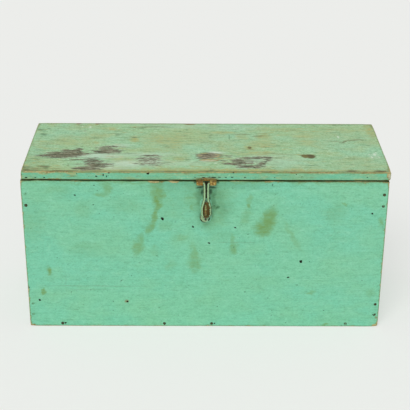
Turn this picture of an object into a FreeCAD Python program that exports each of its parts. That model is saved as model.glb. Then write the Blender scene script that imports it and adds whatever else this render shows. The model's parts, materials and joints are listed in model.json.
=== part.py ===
"""A carpenter's nailed pine tool chest with a flat hinged lid, a wire hasp and a sliding till.

The chest stands on the XY plane with its front facing -Y and its length along X.  The origin is the
middle of its underside.  Five boards make the case: the front and back lap over the two ends, and the
bottom sits inside all four.  The lid is one board on two butt hinges, kept flat by two battens.  A
bent-wire hasp hangs from a plate under the lid and drops over a wire staple on the front.  Each end
has an iron bail handle, and a shallow till slides on two runners inside.  Lengths are millimetres.
"""
import FreeCAD, Part
import math
import os
import re
import Sketcher

Vector = FreeCAD.Vector
Rotation = FreeCAD.Rotation
Placement = FreeCAD.Placement
RIGHT, LEFT = Vector(1, 0, 0), Vector(-1, 0, 0)
BACK, FRONT = Vector(0, 1, 0), Vector(0, -1, 0)
UP, DOWN = Vector(0, 0, 1), Vector(0, 0, -1)

# ------------------------------------------------------------------------------------ the sizes
SIZES = {
    # case
    "chest_length": 700.0,
    "chest_depth": 256.0,
    "case_height": 321.0,
    "board_thickness": 16.0,
    "bottom_thickness": 13.0,
    "arris": 1.0,                     # chamfer round the faces that show
    # lid
    "lid_thickness": 16.0,
    "lid_shift": 2.0,                 # the lid hangs this far to the right of the case
    "batten_width": 44.0,
    "batten_thickness": 14.0,
    "batten_inset": 96.0,             # end of the chest to the middle of a batten
    "batten_clearance": 4.0,          # batten end to the inside of the front and back
    "batten_screw_length": 26.0,
    "batten_screw_spacing": 150.0,
    # nails
    "nail_length": 40.0,
    "nail_shank": 2.6,
    "nail_point": 1.4,
    "nail_head_width": 6.2,
    "nail_head_depth": 1.2,
    "corner_nail_first": 28.0,        # foot or rim of the case to the first nail of a corner
    "corner_nail_second": 52.0,       # and to the second
    "foot_nail_inset": 65.0,          # end of the chest to the outer nails along the foot
    "foot_nail_spacing": 95.0,        # between the two inner nails along the foot
    "foot_nail_shift": 32.5,          # the inner pair lies this far left of the middle
    "end_nail_spacing": 62.0,
    "brad_length": 22.0,
    "brad_width": 1.8,
    "brad_point": 1.2,
    # butt hinges
    "hinge_length": 64.0,
    "hinge_inset": 110.0,             # end of the chest to the middle of a hinge
    "leaf_width": 14.5,
    "leaf_thickness": 1.6,
    "leaf_play": 0.4,                 # between the closed leaves
    "knuckle_wall": 1.6,
    "knuckle_gap": 0.3,
    "pin_diameter": 3.6,
    "hinge_screw_spacing": 42.0,
    # fits
    "running_clearance": 0.06,        # radial, a pin in its knuckle or lug
    "side_clearance": 0.3,            # between faces that pass each other
    # countersunk screws
    "screw_length": 13.0,
    "screw_head_diameter": 5.4,
    "screw_shank_diameter": 2.6,
    "screw_point_diameter": 1.0,
    "screw_head_depth": 1.4,
    # wire hasp
    "hasp_offset": 2.5,               # middle of the chest to the middle of the hasp
    "hasp_wire": 4.4,
    "hasp_plate_length": 38.0,
    "hasp_plate_reach": 14.5,
    "hasp_plate_thickness": 3.0,
    "hasp_knuckle_length": 12.3,
    "hasp_screw_spacing": 22.0,
    "hasp_top_bend": 2.6,             # bend of the wire where it leaves the knuckles
    "hasp_top_half_width": 3.8,
    "hasp_neck_half_width": 3.3,
    "hasp_neck_start": 13.0,          # pivot to the top of the neck
    "hasp_neck_end": 33.0,            # pivot to the foot of the neck
    "hasp_neck_bend": 12.0,
    "hasp_eye_length": 20.0,          # where the eye is at its widest to the foot of the loop
    "hasp_eye_clearance": 3.6,        # side of the staple's wire to the side of the eye
    "hasp_foot_clearance": 1.16,      # underside of the staple to the foot of the eye
    # staple
    "staple_offset": 1.5,
    "staple_drop": 58.5,              # rim of the case to the middle of the staple
    "staple_wire": 3.8,
    "staple_spread": 18.2,            # between the middles of its legs
    "staple_shoulder": 6.6,           # front board to the start of the bend
    "staple_bite": 14.0,              # length of leg in the front board
    "staple_plate_drop": 2.5,         # middle of the staple to the middle of its plate
    "staple_plate_height": 51.0,
    "staple_plate_width": 23.0,
    "staple_plate_thickness": 1.6,
    "staple_plate_corner": 9.0,
    "staple_screw_spacing": 38.0,
    # bail handles
    "handle_drop": 105.0,             # rim of the case to the pivot of the bail
    "handle_plate_length": 78.0,
    "handle_plate_height": 30.0,
    "handle_plate_thickness": 2.2,
    "handle_plate_corner": 5.0,
    "handle_lug_length": 12.0,
    "handle_lug_radius": 6.2,
    "handle_stand_off": 7.5,          # end of the chest to the pivot of the bail
    "handle_screw_spacing": 30.0,
    "handle_screw_rise": 8.0,
    "bail_rod": 7.0,
    "bail_drop": 50.0,
    "bail_top_bend": 7.0,
    "bail_foot_bend": 12.0,
    # till
    "runner_width": 14.0,
    "runner_thickness": 20.0,
    "runner_drop": 81.0,              # rim of the case to the top of a runner
    "runner_nail_spacing": 80.0,
    "till_depth": 104.0,
    "till_height": 58.0,
    "till_board": 8.0,
    "till_bottom_thickness": 6.0,
    "till_end_clearance": 1.5,
    "till_stop_clearance": 1.0,
    "divider_height": 40.0,
    "divider_spacing": 220.0,
}

doc = FreeCAD.newDocument("ToolChest")
sheet = doc.addObject("Spreadsheet::Sheet", "Sizes")
for row, (alias, size) in enumerate(SIZES.items(), start=1):
    sheet.set(f"A{row}", alias)
    sheet.set(f"B{row}", str(size))
    sheet.setAlias(f"B{row}", alias)
doc.recompute()


def cells(expression):
    """An expression written in plain aliases, with each alias pointed at the sheet."""
    return re.sub(r"[a-z][a-z_]*", lambda word: "Sizes." + word[0] if word[0] in SIZES else word[0], expression)


def value(expression):
    """What an expression comes to."""
    return float(sheet.evalExpression(cells(expression)))


# Places that several pieces share, written once.
HALF_LENGTH = "(chest_length / 2)"
HALF_DEPTH = "(chest_depth / 2)"
INNER_LENGTH = "(chest_length - 2 * board_thickness)"
INNER_DEPTH = "(chest_depth - 2 * board_thickness)"
LEAF_UNDERSIDE = "(case_height + leaf_play)"
LID_UNDERSIDE = f"({LEAF_UNDERSIDE} + leaf_thickness)"
KNUCKLE_RADIUS = "(pin_diameter / 2 + running_clearance + knuckle_wall)"
HINGE_X = f"({HALF_LENGTH} - hinge_inset)"
HINGE_Y = f"({HALF_DEPTH} + {KNUCKLE_RADIUS} + side_clearance)"
HINGE_Z = "(case_height + leaf_play / 2)"
HASP_BORE = "(hasp_wire / 2 + running_clearance)"
HASP_KNUCKLE = f"({HASP_BORE} + hasp_plate_thickness)"
HASP_Y = f"(-{HALF_DEPTH} - {HASP_KNUCKLE} - side_clearance)"
HASP_Z = f"({LEAF_UNDERSIDE} + hasp_plate_thickness - {HASP_KNUCKLE})"
STAPLE_Z = "(case_height - staple_drop)"
HASP_EYE = "(staple_wire / 2 + hasp_eye_clearance + hasp_wire / 2)"
HASP_DROP = (f"({HASP_Z} - {STAPLE_Z} + staple_spread / 2 + staple_wire / 2"
             " + hasp_foot_clearance + hasp_wire / 2)")
HANDLE_X = f"({HALF_LENGTH} + handle_stand_off)"
HANDLE_Z = "(case_height - handle_drop)"
BATTEN_X = f"({HALF_LENGTH} - batten_inset)"
TILL_LENGTH = f"({INNER_LENGTH} - 2 * till_end_clearance)"
TILL_BACK = f"({INNER_DEPTH} / 2 - till_stop_clearance)"
TILL_FRONT = f"({TILL_BACK} - till_depth)"
RUNNER_TOP = "(case_height - runner_drop)"
TILL_FLOOR = f"({RUNNER_TOP} + side_clearance)"
TILL_INSIDE = "(till_depth - 2 * till_board)"

BEND_CHORD = 22.5                     # degrees of a wire's bend in each chord
PIECES = []                           # the separate physical pieces, in the order they are made


# ----------------------------------------------------------------------------- small builders
def bind(thing, **expressions):
    """Bind properties of an object to the sheet.  x, y and z stand for its position."""
    for name, expression in expressions.items():
        name = {"x": "Placement.Base.x", "y": "Placement.Base.y", "z": "Placement.Base.z"}.get(name, name)
        thing.setExpression(name, cells(expression))
    return thing


def piece(thing, label):
    """Name an object as one physical piece of the chest."""
    thing.Label = label
    PIECES.append(thing)
    return thing


def plank(name, length, width, height, x, y, z):
    """A sawn board: a rectangle in a sketch, padded to its height, its lowest corner at x, y, z."""
    body = doc.addObject("PartDesign::Body", name)
    sketch = body.newObject("Sketcher::SketchObject", name + "_outline")
    sketch.AttachmentSupport = (next(f for f in body.Origin.OriginFeatures if f.Role == "XY_Plane"), [""])
    sketch.MapMode = "FlatFace"
    a, b = value(length), value(width)
    corners = [Vector(0, 0, 0), Vector(a, 0, 0), Vector(a, b, 0), Vector(0, b, 0)]
    for i in range(4):
        sketch.addGeometry(Part.LineSegment(corners[i], corners[(i + 1) % 4]), False)
    for i, kind in enumerate(("Horizontal", "Vertical", "Horizontal", "Vertical")):
        sketch.addConstraint(Sketcher.Constraint("Coincident", i, 2, (i + 1) % 4, 1))
        sketch.addConstraint(Sketcher.Constraint(kind, i))
    sketch.addConstraint(Sketcher.Constraint("Coincident", 0, 1, -1, 1))
    long_side = sketch.addConstraint(Sketcher.Constraint("DistanceX", 0, 1, 0, 2, a))
    short_side = sketch.addConstraint(Sketcher.Constraint("DistanceY", 1, 1, 1, 2, b))
    sketch.setExpression(f"Constraints[{long_side}]", cells(length))
    sketch.setExpression(f"Constraints[{short_side}]", cells(width))
    pad = body.newObject("PartDesign::Pad", name + "_pad")
    pad.Profile = sketch
    sketch.Visibility = False
    bind(pad, Length=height)
    bind(body, x=x, y=y, z=z)
    doc.recompute()
    return body


def chamfer_face(body, outward, setback="arris"):
    """Ease the arrises round the face of a body that looks one way."""
    tip = body.Tip
    normals = [face.normalAt(0, 0) for face in tip.Shape.Faces]
    name = next(f"Face{i + 1}" for i, n in enumerate(normals) if n.dot(outward) > 0.99)
    chamfer = body.newObject("PartDesign::Chamfer", f"{body.Name}_arris{len(body.Group)}")
    chamfer.Base = (tip, [name])
    bind(chamfer, Size=setback)
    doc.recompute()
    return body


def round_corners(body, axis, radius):
    """Round the four edges of a body that run along an axis."""
    tip = body.Tip
    names = [f"Edge{i + 1}" for i, edge in enumerate(tip.Shape.Edges)
             if abs(edge.tangentAt(edge.FirstParameter).dot(axis)) > 0.99]
    fillet = body.newObject("PartDesign::Fillet", body.Name + "_corners")
    fillet.Base = (tip, names)
    bind(fillet, Radius=radius)
    doc.recompute()
    return body


def box(name, length, width, height, x, y, z):
    block = doc.addObject("Part::Box", name)
    return bind(block, Length=length, Width=width, Height=height, x=x, y=y, z=z)


def cylinder(name, radius, height, x, y, z, along):
    drum = doc.addObject("Part::Cylinder", name)
    drum.Placement = Placement(Vector(), Rotation(UP, along))
    return bind(drum, Radius=radius, Height=height, x=x, y=y, z=z)


def fuse(name, parts):
    whole = doc.addObject("Part::MultiFuse", name)
    whole.Shapes = parts
    whole.Refine = True
    return whole


def cut(name, base, tools):
    """A piece with others taken out of it.  The tools keep their own shape and place."""
    taken = tools[0]
    if len(tools) > 1:
        taken = doc.addObject("Part::Compound", name + "_cuts")
        taken.Links = tools
    result = doc.addObject("Part::Cut", name)
    result.Base, result.Tool = base, taken
    return result


def mirror(name, source):
    """The left-hand twin of a right-hand piece."""
    twin = doc.addObject("Part::Mirroring", name)
    twin.Source = source
    twin.Base, twin.Normal = Vector(0, 0, 0), RIGHT
    return twin


def group(name, master, stations):
    """Copies of one fastener, each driven at a point in a direction, as one object."""
    row = doc.addObject("App::Link", name + "_row")
    row.LinkedObject = master
    row.ShowElement = False
    row.ElementCount = len(stations)
    row.PlacementList = [Placement(point, Rotation(BACK, way)) for point, way in stations]
    whole = doc.addObject("Part::Compound", name)
    whole.Links = [row]
    doc.recompute()
    return whole


def rod(name, diameter, corners, bends, journals=False):
    """Bar or wire bent in one plane, swept along its middle line with each bend taken in short chords.

    The section has twelve flats.  With journals, the first and last runs are turned round.
    """
    nodes = [corners[0]]
    for before, corner, after, radius in zip(corners, corners[1:], corners[2:], bends):
        way_in, way_out = (corner - before).normalize(), (after - corner).normalize()
        turn = way_in.getAngle(way_out)
        axis = way_in.cross(way_out).normalize()
        first = corner - way_in * (radius * math.tan(turn / 2))
        outward = way_in.cross(axis)
        chords = max(1, round(math.degrees(turn) / BEND_CHORD))
        nodes += [first - outward * radius + outward * (radius * math.cos(turn * i / chords))
                  + way_in * (radius * math.sin(turn * i / chords)) for i in range(chords + 1)]
    nodes.append(corners[-1])
    ends = []
    if journals:
        for i, (tip, root) in enumerate(((nodes[0], nodes[1]), (nodes[-1], nodes[-2]))):
            journal = doc.addObject("Part::Cylinder", f"{name}_journal{i}")
            journal.Placement = Placement(tip, Rotation(UP, (root - tip).normalize()))
            journal.Height = (root - tip).Length
            ends.append(bind(journal, Radius=f"{diameter} / 2"))
        nodes = nodes[1:-1]
    way = (nodes[1] - nodes[0]).normalize()
    square_on = way.cross(corners[2] - corners[1]).normalize()
    section = doc.addObject("Part::RegularPolygon", name + "_section")
    section.Polygon = 12
    section.Placement = Placement(nodes[0], Rotation(square_on, way.cross(square_on), way, "ZXY"))
    bind(section, Circumradius=f"{diameter} / 2")
    path = doc.addObject("Part::Polygon", name + "_path")
    path.Nodes, path.Close = nodes, False
    bar = doc.addObject("Part::Sweep", name + "_bar")
    bar.Sections, bar.Solid, bar.Transition = [section], True, "Right corner"
    bar.Spine = (path, [f"Edge{i + 1}" for i in range(len(nodes) - 1)])
    return fuse(name, [bar] + ends) if ends else bar


# ------------------------------------------------------------------------- fasteners, made once
# Each stands at the origin with its head flush at y = 0 and its point towards +Y.

def wedge(name, first_width, last_width, length, turned=0):
    """A square taper along +Y from the origin."""
    taper = doc.addObject("Part::Wedge", name)
    taper.Placement = Placement(Vector(), Rotation(BACK, turned))
    return bind(taper, Xmin=f"-{first_width} / 2", Xmax=f"{first_width} / 2",
                Zmin=f"-{first_width} / 2", Zmax=f"{first_width} / 2",
                X2min=f"-{last_width} / 2", X2max=f"{last_width} / 2",
                Z2min=f"-{last_width} / 2", Z2max=f"{last_width} / 2", Ymin="0", Ymax=length)


# A cut nail: square tapered shank under a faceted head.
nail_head = doc.addObject("Part::Prism", "nail_head")
nail_head.Polygon = 6
nail_head.Placement = Placement(Vector(), Rotation(UP, BACK))
bind(nail_head, Circumradius="nail_head_width / 2", Height="nail_head_depth")
nail = fuse("nail", [nail_head, wedge("nail_taper", "nail_shank", "nail_point", "nail_length")])

# A brad: a headless tapered square pin.
brad = wedge("brad", "brad_width", "brad_point", "brad_length")


def screw(name, length):
    """A countersunk screw: two square tapers crossed at 45 degrees make its head, over a tapered shank."""
    head = doc.addObject("Part::MultiCommon", name + "_head")
    head.Shapes = [wedge(f"{name}_taper{turned}", "screw_head_diameter", "screw_shank_diameter",
                         "screw_head_depth", turned) for turned in (0, 45)]
    return fuse(name, [head, wedge(name + "_shank", "screw_shank_diameter * 0.7", "screw_point_diameter", length)])


short_screw = screw("short_screw", "screw_length")
batten_screw = screw("batten_screw", "batten_screw_length")

half_length, half_depth = value(HALF_LENGTH), value(HALF_DEPTH)
inner_half_length = value(INNER_LENGTH) / 2
edge_x = half_length - value("board_thickness") / 2
edge_z = value("bottom_thickness") / 2
rim = value("case_height")

# -------------------------------------------------------------------------------- case, nailed
column = [value("corner_nail_first"), value("corner_nail_second"),
          rim - value("corner_nail_second"), rim - value("corner_nail_first")]
foot = [side * (half_length - value("foot_nail_inset")) for side in (-1, 1)]
foot += [step * value("foot_nail_spacing") - value("foot_nail_shift") for step in (-0.5, 0.5)]


def face_nails(way):
    """Stations over a long face: a column up each end and a row along the foot."""
    y = -way.y * half_depth
    stations = [(Vector(side * edge_x, y, z), way) for side in (-1, 1) for z in column]
    return stations + [(Vector(x, y, edge_z), way) for x in foot]


front_nails = piece(group("front_nails", nail, face_nails(BACK)), "front_nails")
back_nails = piece(group("back_nails", nail, face_nails(FRONT)), "back_nails")
end_nails = piece(group("end_nails", nail, [
    (Vector(-way.x * half_length, step * value("end_nail_spacing"), edge_z), way)
    for way in (RIGHT, LEFT) for step in (-1, 0, 1)]), "end_nails")

# Hinge pieces, modelled on the right and mirrored to the left.  The fixed leaf is let in flush with
# the rim.  It carries the outer two of the three knuckles, and the moving leaf carries the middle one.
KNUCKLE_PITCH = "(hinge_length / 3)"
HINGE_START = f"({HINGE_X} - hinge_length / 2)"


def hinge_leaf(name, underside, knuckles):
    parts = [box(name + "_plate", "hinge_length", "leaf_width", "leaf_thickness",
                 HINGE_START, f"{HALF_DEPTH} - leaf_width", underside)]
    for i in knuckles:
        start = f"{HINGE_START} + {i} * {KNUCKLE_PITCH} + knuckle_gap / 2"
        long = f"{KNUCKLE_PITCH} - knuckle_gap"
        parts.append(box(f"{name}_tongue{i}", long, f"{HINGE_Y} - {HALF_DEPTH} + leaf_thickness",
                         "leaf_thickness", start, f"{HALF_DEPTH} - leaf_thickness", underside))
        parts.append(cylinder(f"{name}_knuckle{i}", KNUCKLE_RADIUS, long, start, HINGE_Y, HINGE_Z, RIGHT))
    bore = cylinder(name + "_bore", "pin_diameter / 2 + running_clearance", "hinge_length",
                    HINGE_START, HINGE_Y, HINGE_Z, RIGHT)
    return cut(name + "_bored", fuse(name + "_blank", parts), [bore])


def hinge_screws(name, height, way):
    y = half_depth - value("leaf_width") / 2
    return group(name, short_screw, [
        (Vector(value(HINGE_X) + step * value("hinge_screw_spacing"), y, height), way) for step in (-0.5, 0.5)])


FIXED_UNDERSIDE = "(case_height - leaf_thickness)"
fixed_screws = hinge_screws("hinge_right_fixed_screws", rim, DOWN)
fixed_leaf = cut("hinge_right_fixed_leaf", hinge_leaf("fixed_leaf", FIXED_UNDERSIDE, (0, 2)), [fixed_screws])
moving_screws = hinge_screws("hinge_right_moving_screws", value(LEAF_UNDERSIDE), UP)
moving_leaf = cut("hinge_right_moving_leaf", hinge_leaf("moving_leaf", LEAF_UNDERSIDE, (1,)), [moving_screws])
hinge_pin = cylinder("hinge_right_pin", "pin_diameter / 2", "hinge_length",
                     HINGE_START, HINGE_Y, HINGE_Z, RIGHT)
hinges = {}
for name, right in (("fixed_leaf", fixed_leaf), ("moving_leaf", moving_leaf), ("pin", hinge_pin),
                    ("fixed_screws", fixed_screws), ("moving_screws", moving_screws)):
    hinges[name] = (piece(right, f"hinge_right_{name}"),
                    piece(mirror(f"hinge_left_{name}", right), f"hinge_left_{name}"))

# The pocket for a fixed leaf is as long and as deep as the leaf and runs out at the back.
leaf_recess = box("leaf_recess", "hinge_length", "leaf_width + arris", "leaf_thickness + arris",
                  HINGE_START, f"{HALF_DEPTH} - leaf_width", FIXED_UNDERSIDE)
leaf_recesses = [leaf_recess, mirror("leaf_recess_left", leaf_recess)]

# Staple: a wire driven through an iron plate into the front board, with the plate screwed on.
staple_x, staple_z = value("staple_offset"), value(STAPLE_Z)
staple_half = value("staple_spread") / 2
staple_in = -half_depth + value("staple_bite")
staple_nose = -half_depth - value("staple_shoulder") - staple_half
staple_corners = [Vector(staple_x, staple_in, staple_z + staple_half),
                  Vector(staple_x, staple_nose, staple_z + staple_half),
                  Vector(staple_x, staple_nose, staple_z - staple_half),
                  Vector(staple_x, staple_in, staple_z - staple_half)]
staple = piece(rod("staple", "staple_wire", staple_corners, [staple_half * 0.92] * 2), "staple")
PLATE_MIDDLE = f"({STAPLE_Z} - staple_plate_drop)"
staple_screws = piece(group("staple_screws", short_screw, [
    (Vector(staple_x, -half_depth - value("staple_plate_thickness"),
            value(PLATE_MIDDLE) + side * value("staple_screw_spacing") / 2), BACK) for side in (-1, 1)]),
    "staple_screws")
staple_plate = plank("staple_plate_blank", "staple_plate_width", "staple_plate_thickness",
                     "staple_plate_height", "staple_offset - staple_plate_width / 2",
                     f"-{HALF_DEPTH} - staple_plate_thickness", f"{PLATE_MIDDLE} - staple_plate_height / 2")
round_corners(staple_plate, BACK, "staple_plate_corner")
piece(cut("staple_plate", staple_plate, [staple, staple_screws]), "staple_plate")

# Till runners, nailed across the inside of the ends.
runner_right = plank("runner_right_blank", "runner_width", INNER_DEPTH, "runner_thickness",
                     f"{INNER_LENGTH} / 2 - runner_width", f"-{INNER_DEPTH} / 2",
                     f"{RUNNER_TOP} - runner_thickness")
runner_left = plank("runner_left_blank", "runner_width", INNER_DEPTH, "runner_thickness",
                    f"-{INNER_LENGTH} / 2", f"-{INNER_DEPTH} / 2", f"{RUNNER_TOP} - runner_thickness")
runner_nails = piece(group("runner_nails", brad, [
    (Vector(way.x * (inner_half_length - value("runner_width")), step * value("runner_nail_spacing"),
            value(f"{RUNNER_TOP} - runner_thickness / 2")), way)
    for way in (LEFT, RIGHT) for step in (-1, 0, 1)]), "runner_nails")
piece(cut("runner_left", runner_left, [runner_nails]), "runner_left")
piece(cut("runner_right", runner_right, [runner_nails]), "runner_right")

# Handle plates: a rounded iron plate with a bored lug at each end for the bail.
LUG_START = "(handle_plate_length / 2 - handle_lug_length)"
handle_plate = plank("handle_plate_blank", "handle_plate_thickness", "handle_plate_length",
                     "handle_plate_height", HALF_LENGTH, "-handle_plate_length / 2",
                     f"{HANDLE_Z} - handle_plate_height / 2")
round_corners(handle_plate, RIGHT, "handle_plate_corner")
lugs = []
for side, start in (("front", "-handle_plate_length / 2"), ("back", LUG_START)):
    lugs.append(box(f"lug_{side}_web", "handle_stand_off", "handle_lug_length", "2 * handle_lug_radius",
                    HALF_LENGTH, start, f"{HANDLE_Z} - handle_lug_radius"))
    eye = doc.addObject("Part::Prism", f"lug_{side}_eye")
    eye.Polygon = 8
    eye.Placement = Placement(Vector(), Rotation(BACK, 22.5) * Rotation(UP, BACK))
    lugs.append(bind(eye, Circumradius="handle_lug_radius / cos(22.5)", Height="handle_lug_length",
                     x=HANDLE_X, y=start, z=HANDLE_Z))
lug_bore = cylinder("lug_bore", "bail_rod / 2 + running_clearance", "handle_plate_length",
                    HANDLE_X, "-handle_plate_length / 2", HANDLE_Z, BACK)
handle_screws = piece(group("handle_right_screws", short_screw, [
    (Vector(value(HALF_LENGTH) + value("handle_plate_thickness"),
            side * value("handle_screw_spacing") / 2,
            value(HANDLE_Z) + rise * value("handle_screw_rise")), LEFT)
    for side in (-1, 1) for rise in (-1, 1)]), "handle_right_screws")
handle_plate = piece(cut("handle_right_plate", fuse("handle_plate_lugs", [handle_plate] + lugs),
                         [lug_bore, handle_screws]), "handle_right_plate")
handle_screws_left = piece(mirror("handle_left_screws", handle_screws), "handle_left_screws")
piece(mirror("handle_left_plate", handle_plate), "handle_left_plate")

# The boards of the case, each with its chamfer and the holes of what is driven into it.
front_board = chamfer_face(plank("front_blank", "chest_length", "board_thickness", "case_height",
                                 f"-{HALF_LENGTH}", f"-{HALF_DEPTH}", "0"), FRONT)
back_board = chamfer_face(plank("back_blank", "chest_length", "board_thickness", "case_height",
                                f"-{HALF_LENGTH}", f"{HALF_DEPTH} - board_thickness", "0"), BACK)
end_left = plank("end_left_blank", "board_thickness", INNER_DEPTH, "case_height",
                 f"-{HALF_LENGTH}", f"-{INNER_DEPTH} / 2", "0")
end_right = plank("end_right_blank", "board_thickness", INNER_DEPTH, "case_height",
                  f"{HALF_LENGTH} - board_thickness", f"-{INNER_DEPTH} / 2", "0")
bottom_board = plank("bottom_blank", INNER_LENGTH, INNER_DEPTH, "bottom_thickness",
                     f"-{INNER_LENGTH} / 2", f"-{INNER_DEPTH} / 2", "0")
piece(cut("front_board", front_board, [front_nails, staple, staple_screws]), "front_board")
piece(cut("back_board", back_board, [back_nails, *leaf_recesses, *hinges["fixed_screws"]]), "back_board")
end_tools = [front_nails, back_nails, end_nails, runner_nails]
piece(cut("end_left", end_left, end_tools + [handle_screws_left]), "end_left")
piece(cut("end_right", end_right, end_tools + [handle_screws]), "end_right")
piece(cut("bottom_board", bottom_board, [front_nails, back_nails, end_nails]), "bottom_board")

# ----------------------------------------------------------------------------------------- lid
# The hasp plate is let into the underside of the lid and curled down in front into two knuckles.
HASP_START = "(hasp_offset - hasp_plate_length / 2)"
hasp_parts = [box("hasp_leaf", "hasp_plate_length", "hasp_plate_reach", "hasp_plate_thickness",
                  HASP_START, f"-{HALF_DEPTH}", LEAF_UNDERSIDE)]
for side, start in (("left", HASP_START), ("right", f"{HASP_START} + hasp_plate_length - hasp_knuckle_length")):
    hasp_parts.append(box(f"hasp_tongue_{side}", "hasp_knuckle_length",
                          f"-{HALF_DEPTH} - {HASP_Y} + hasp_plate_thickness", "hasp_plate_thickness",
                          start, HASP_Y, LEAF_UNDERSIDE))
    hasp_parts.append(cylinder(f"hasp_knuckle_{side}", HASP_KNUCKLE, "hasp_knuckle_length",
                               start, HASP_Y, HASP_Z, RIGHT))
hasp_bore = cylinder("hasp_bore", HASP_BORE, "hasp_plate_length", HASP_START, HASP_Y, HASP_Z, RIGHT)
hasp_screws = piece(group("hasp_screws", short_screw, [
    (Vector(value("hasp_offset") + side * value("hasp_screw_spacing") / 2,
            -half_depth + value("hasp_plate_reach") / 2, value(LEAF_UNDERSIDE)), UP) for side in (-1, 1)]),
    "hasp_screws")
hasp_plate = piece(cut("hasp_plate", fuse("hasp_plate_blank", hasp_parts), [hasp_bore, hasp_screws]),
                   "hasp_plate")

# Two battens across the underside, screwed up into the lid.
batten_length = f"{INNER_DEPTH} - 2 * batten_clearance"
batten_screws = piece(group("batten_screws", batten_screw, [
    (Vector(side * value(BATTEN_X), step * value("batten_screw_spacing"),
            value(LID_UNDERSIDE) - value("batten_thickness")), UP)
    for side in (-1, 1) for step in (-0.5, 0.5)]), "batten_screws")
for side, sign in (("left", "-"), ("right", "")):
    blank = plank(f"batten_{side}_blank", "batten_width", batten_length, "batten_thickness",
                  f"{sign}{BATTEN_X} - batten_width / 2", f"-({batten_length}) / 2",
                  f"{LID_UNDERSIDE} - batten_thickness")
    chamfer_face(blank, DOWN)
    piece(cut(f"lid_batten_{side}", blank, [batten_screws]), f"lid_batten_{side}")

lid_board = chamfer_face(plank("lid_blank", "chest_length", "chest_depth", "lid_thickness",
                               f"-{HALF_LENGTH} + lid_shift", f"-{HALF_DEPTH}", LID_UNDERSIDE), UP)
piece(cut("lid_board", lid_board, [hasp_plate, hasp_screws, batten_screws, *hinges["moving_screws"]]),
      "lid_board")

# ----------------------------------------------------------------------------------- hasp loop
# One length of wire.  Its ends lie in the knuckles, its legs run down together and open into an eye.
pivot = Vector(value("hasp_offset"), value(HASP_Y), value(HASP_Z))
eye, drop = value(HASP_EYE), value(HASP_DROP)
half = [(value("hasp_plate_length") / 2, 0.0, 0.0),
        (value("hasp_top_half_width"), 0.0, value("hasp_top_bend")),
        (value("hasp_neck_half_width"), value("hasp_neck_start"), value("hasp_neck_bend")),
        (value("hasp_neck_half_width"), value("hasp_neck_end"), value("hasp_neck_bend")),
        (eye, drop - value("hasp_eye_length"), value("hasp_neck_bend")),
        (eye, drop, eye * 0.92)]
wire = [(-across, down, bend) for across, down, bend in half] + list(reversed(half))
piece(rod("hasp_loop", "hasp_wire", [pivot + Vector(across, 0, -down) for across, down, _ in wire],
          [bend for _, _, bend in wire[1:-1]], journals=True), "hasp_loop")

# --------------------------------------------------------------------------------------- bails
leg_y = value("handle_plate_length / 2 + bail_top_bend + side_clearance")
tip_y = value(LUG_START) - 1.0
pivot_z, foot_z = value(HANDLE_Z), value(f"{HANDLE_Z} - bail_drop")
bail_x = value(HANDLE_X)
bail_corners = [Vector(bail_x, -tip_y, pivot_z), Vector(bail_x, -leg_y, pivot_z),
                Vector(bail_x, -leg_y, foot_z), Vector(bail_x, leg_y, foot_z),
                Vector(bail_x, leg_y, pivot_z), Vector(bail_x, tip_y, pivot_z)]
bail_bends = [value(bend) for bend in ("bail_top_bend", "bail_foot_bend", "bail_foot_bend", "bail_top_bend")]
bail = piece(rod("handle_right_bail", "bail_rod", bail_corners, bail_bends, journals=True),
             "handle_right_bail")
piece(mirror("handle_left_bail", bail), "handle_left_bail")

# ---------------------------------------------------------------------------------------- till
# A shallow tray that rests on the runners.  Its front and back lap over its ends and its bottom.
till_half = value(TILL_LENGTH) / 2
till_faces = ((value(TILL_FRONT), BACK), (value(TILL_BACK), FRONT))
floor = value(TILL_FLOOR)
till_stations = []
for y, way in till_faces:
    for side in (-1, 1):
        for share in (0.25, 0.75):
            till_stations.append((Vector(side * (till_half - value("till_board") / 2), y,
                                         floor + share * value("till_height")), way))
        till_stations.append((Vector(side * value("divider_spacing") / 2, y,
                                     floor + value("till_bottom_thickness + divider_height / 2")), way))
    for step in (-1, 0, 1):
        till_stations.append((Vector(step * value("divider_spacing"), y,
                                     floor + value("till_bottom_thickness") / 2), way))
till_nails = piece(group("till_nails", brad, till_stations), "till_nails")

till_boards = {
    "till_front": (TILL_LENGTH, "till_board", "till_height", f"-{TILL_LENGTH} / 2", TILL_FRONT, TILL_FLOOR),
    "till_back": (TILL_LENGTH, "till_board", "till_height", f"-{TILL_LENGTH} / 2",
                  f"{TILL_BACK} - till_board", TILL_FLOOR),
    "till_end_left": ("till_board", TILL_INSIDE, "till_height", f"-{TILL_LENGTH} / 2",
                      f"{TILL_FRONT} + till_board", TILL_FLOOR),
    "till_end_right": ("till_board", TILL_INSIDE, "till_height", f"{TILL_LENGTH} / 2 - till_board",
                       f"{TILL_FRONT} + till_board", TILL_FLOOR),
    "till_bottom": (f"{TILL_LENGTH} - 2 * till_board", TILL_INSIDE, "till_bottom_thickness",
                    f"-{TILL_LENGTH} / 2 + till_board", f"{TILL_FRONT} + till_board", TILL_FLOOR),
    "till_divider_left": ("till_board", TILL_INSIDE, "divider_height",
                          "-divider_spacing / 2 - till_board / 2", f"{TILL_FRONT} + till_board",
                          f"{TILL_FLOOR} + till_bottom_thickness"),
    "till_divider_right": ("till_board", TILL_INSIDE, "divider_height",
                           "divider_spacing / 2 - till_board / 2", f"{TILL_FRONT} + till_board",
                           f"{TILL_FLOOR} + till_bottom_thickness"),
}
for name, sizes in till_boards.items():
    piece(cut(name, plank(name + "_blank", *sizes), [till_nails]), name)

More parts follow.
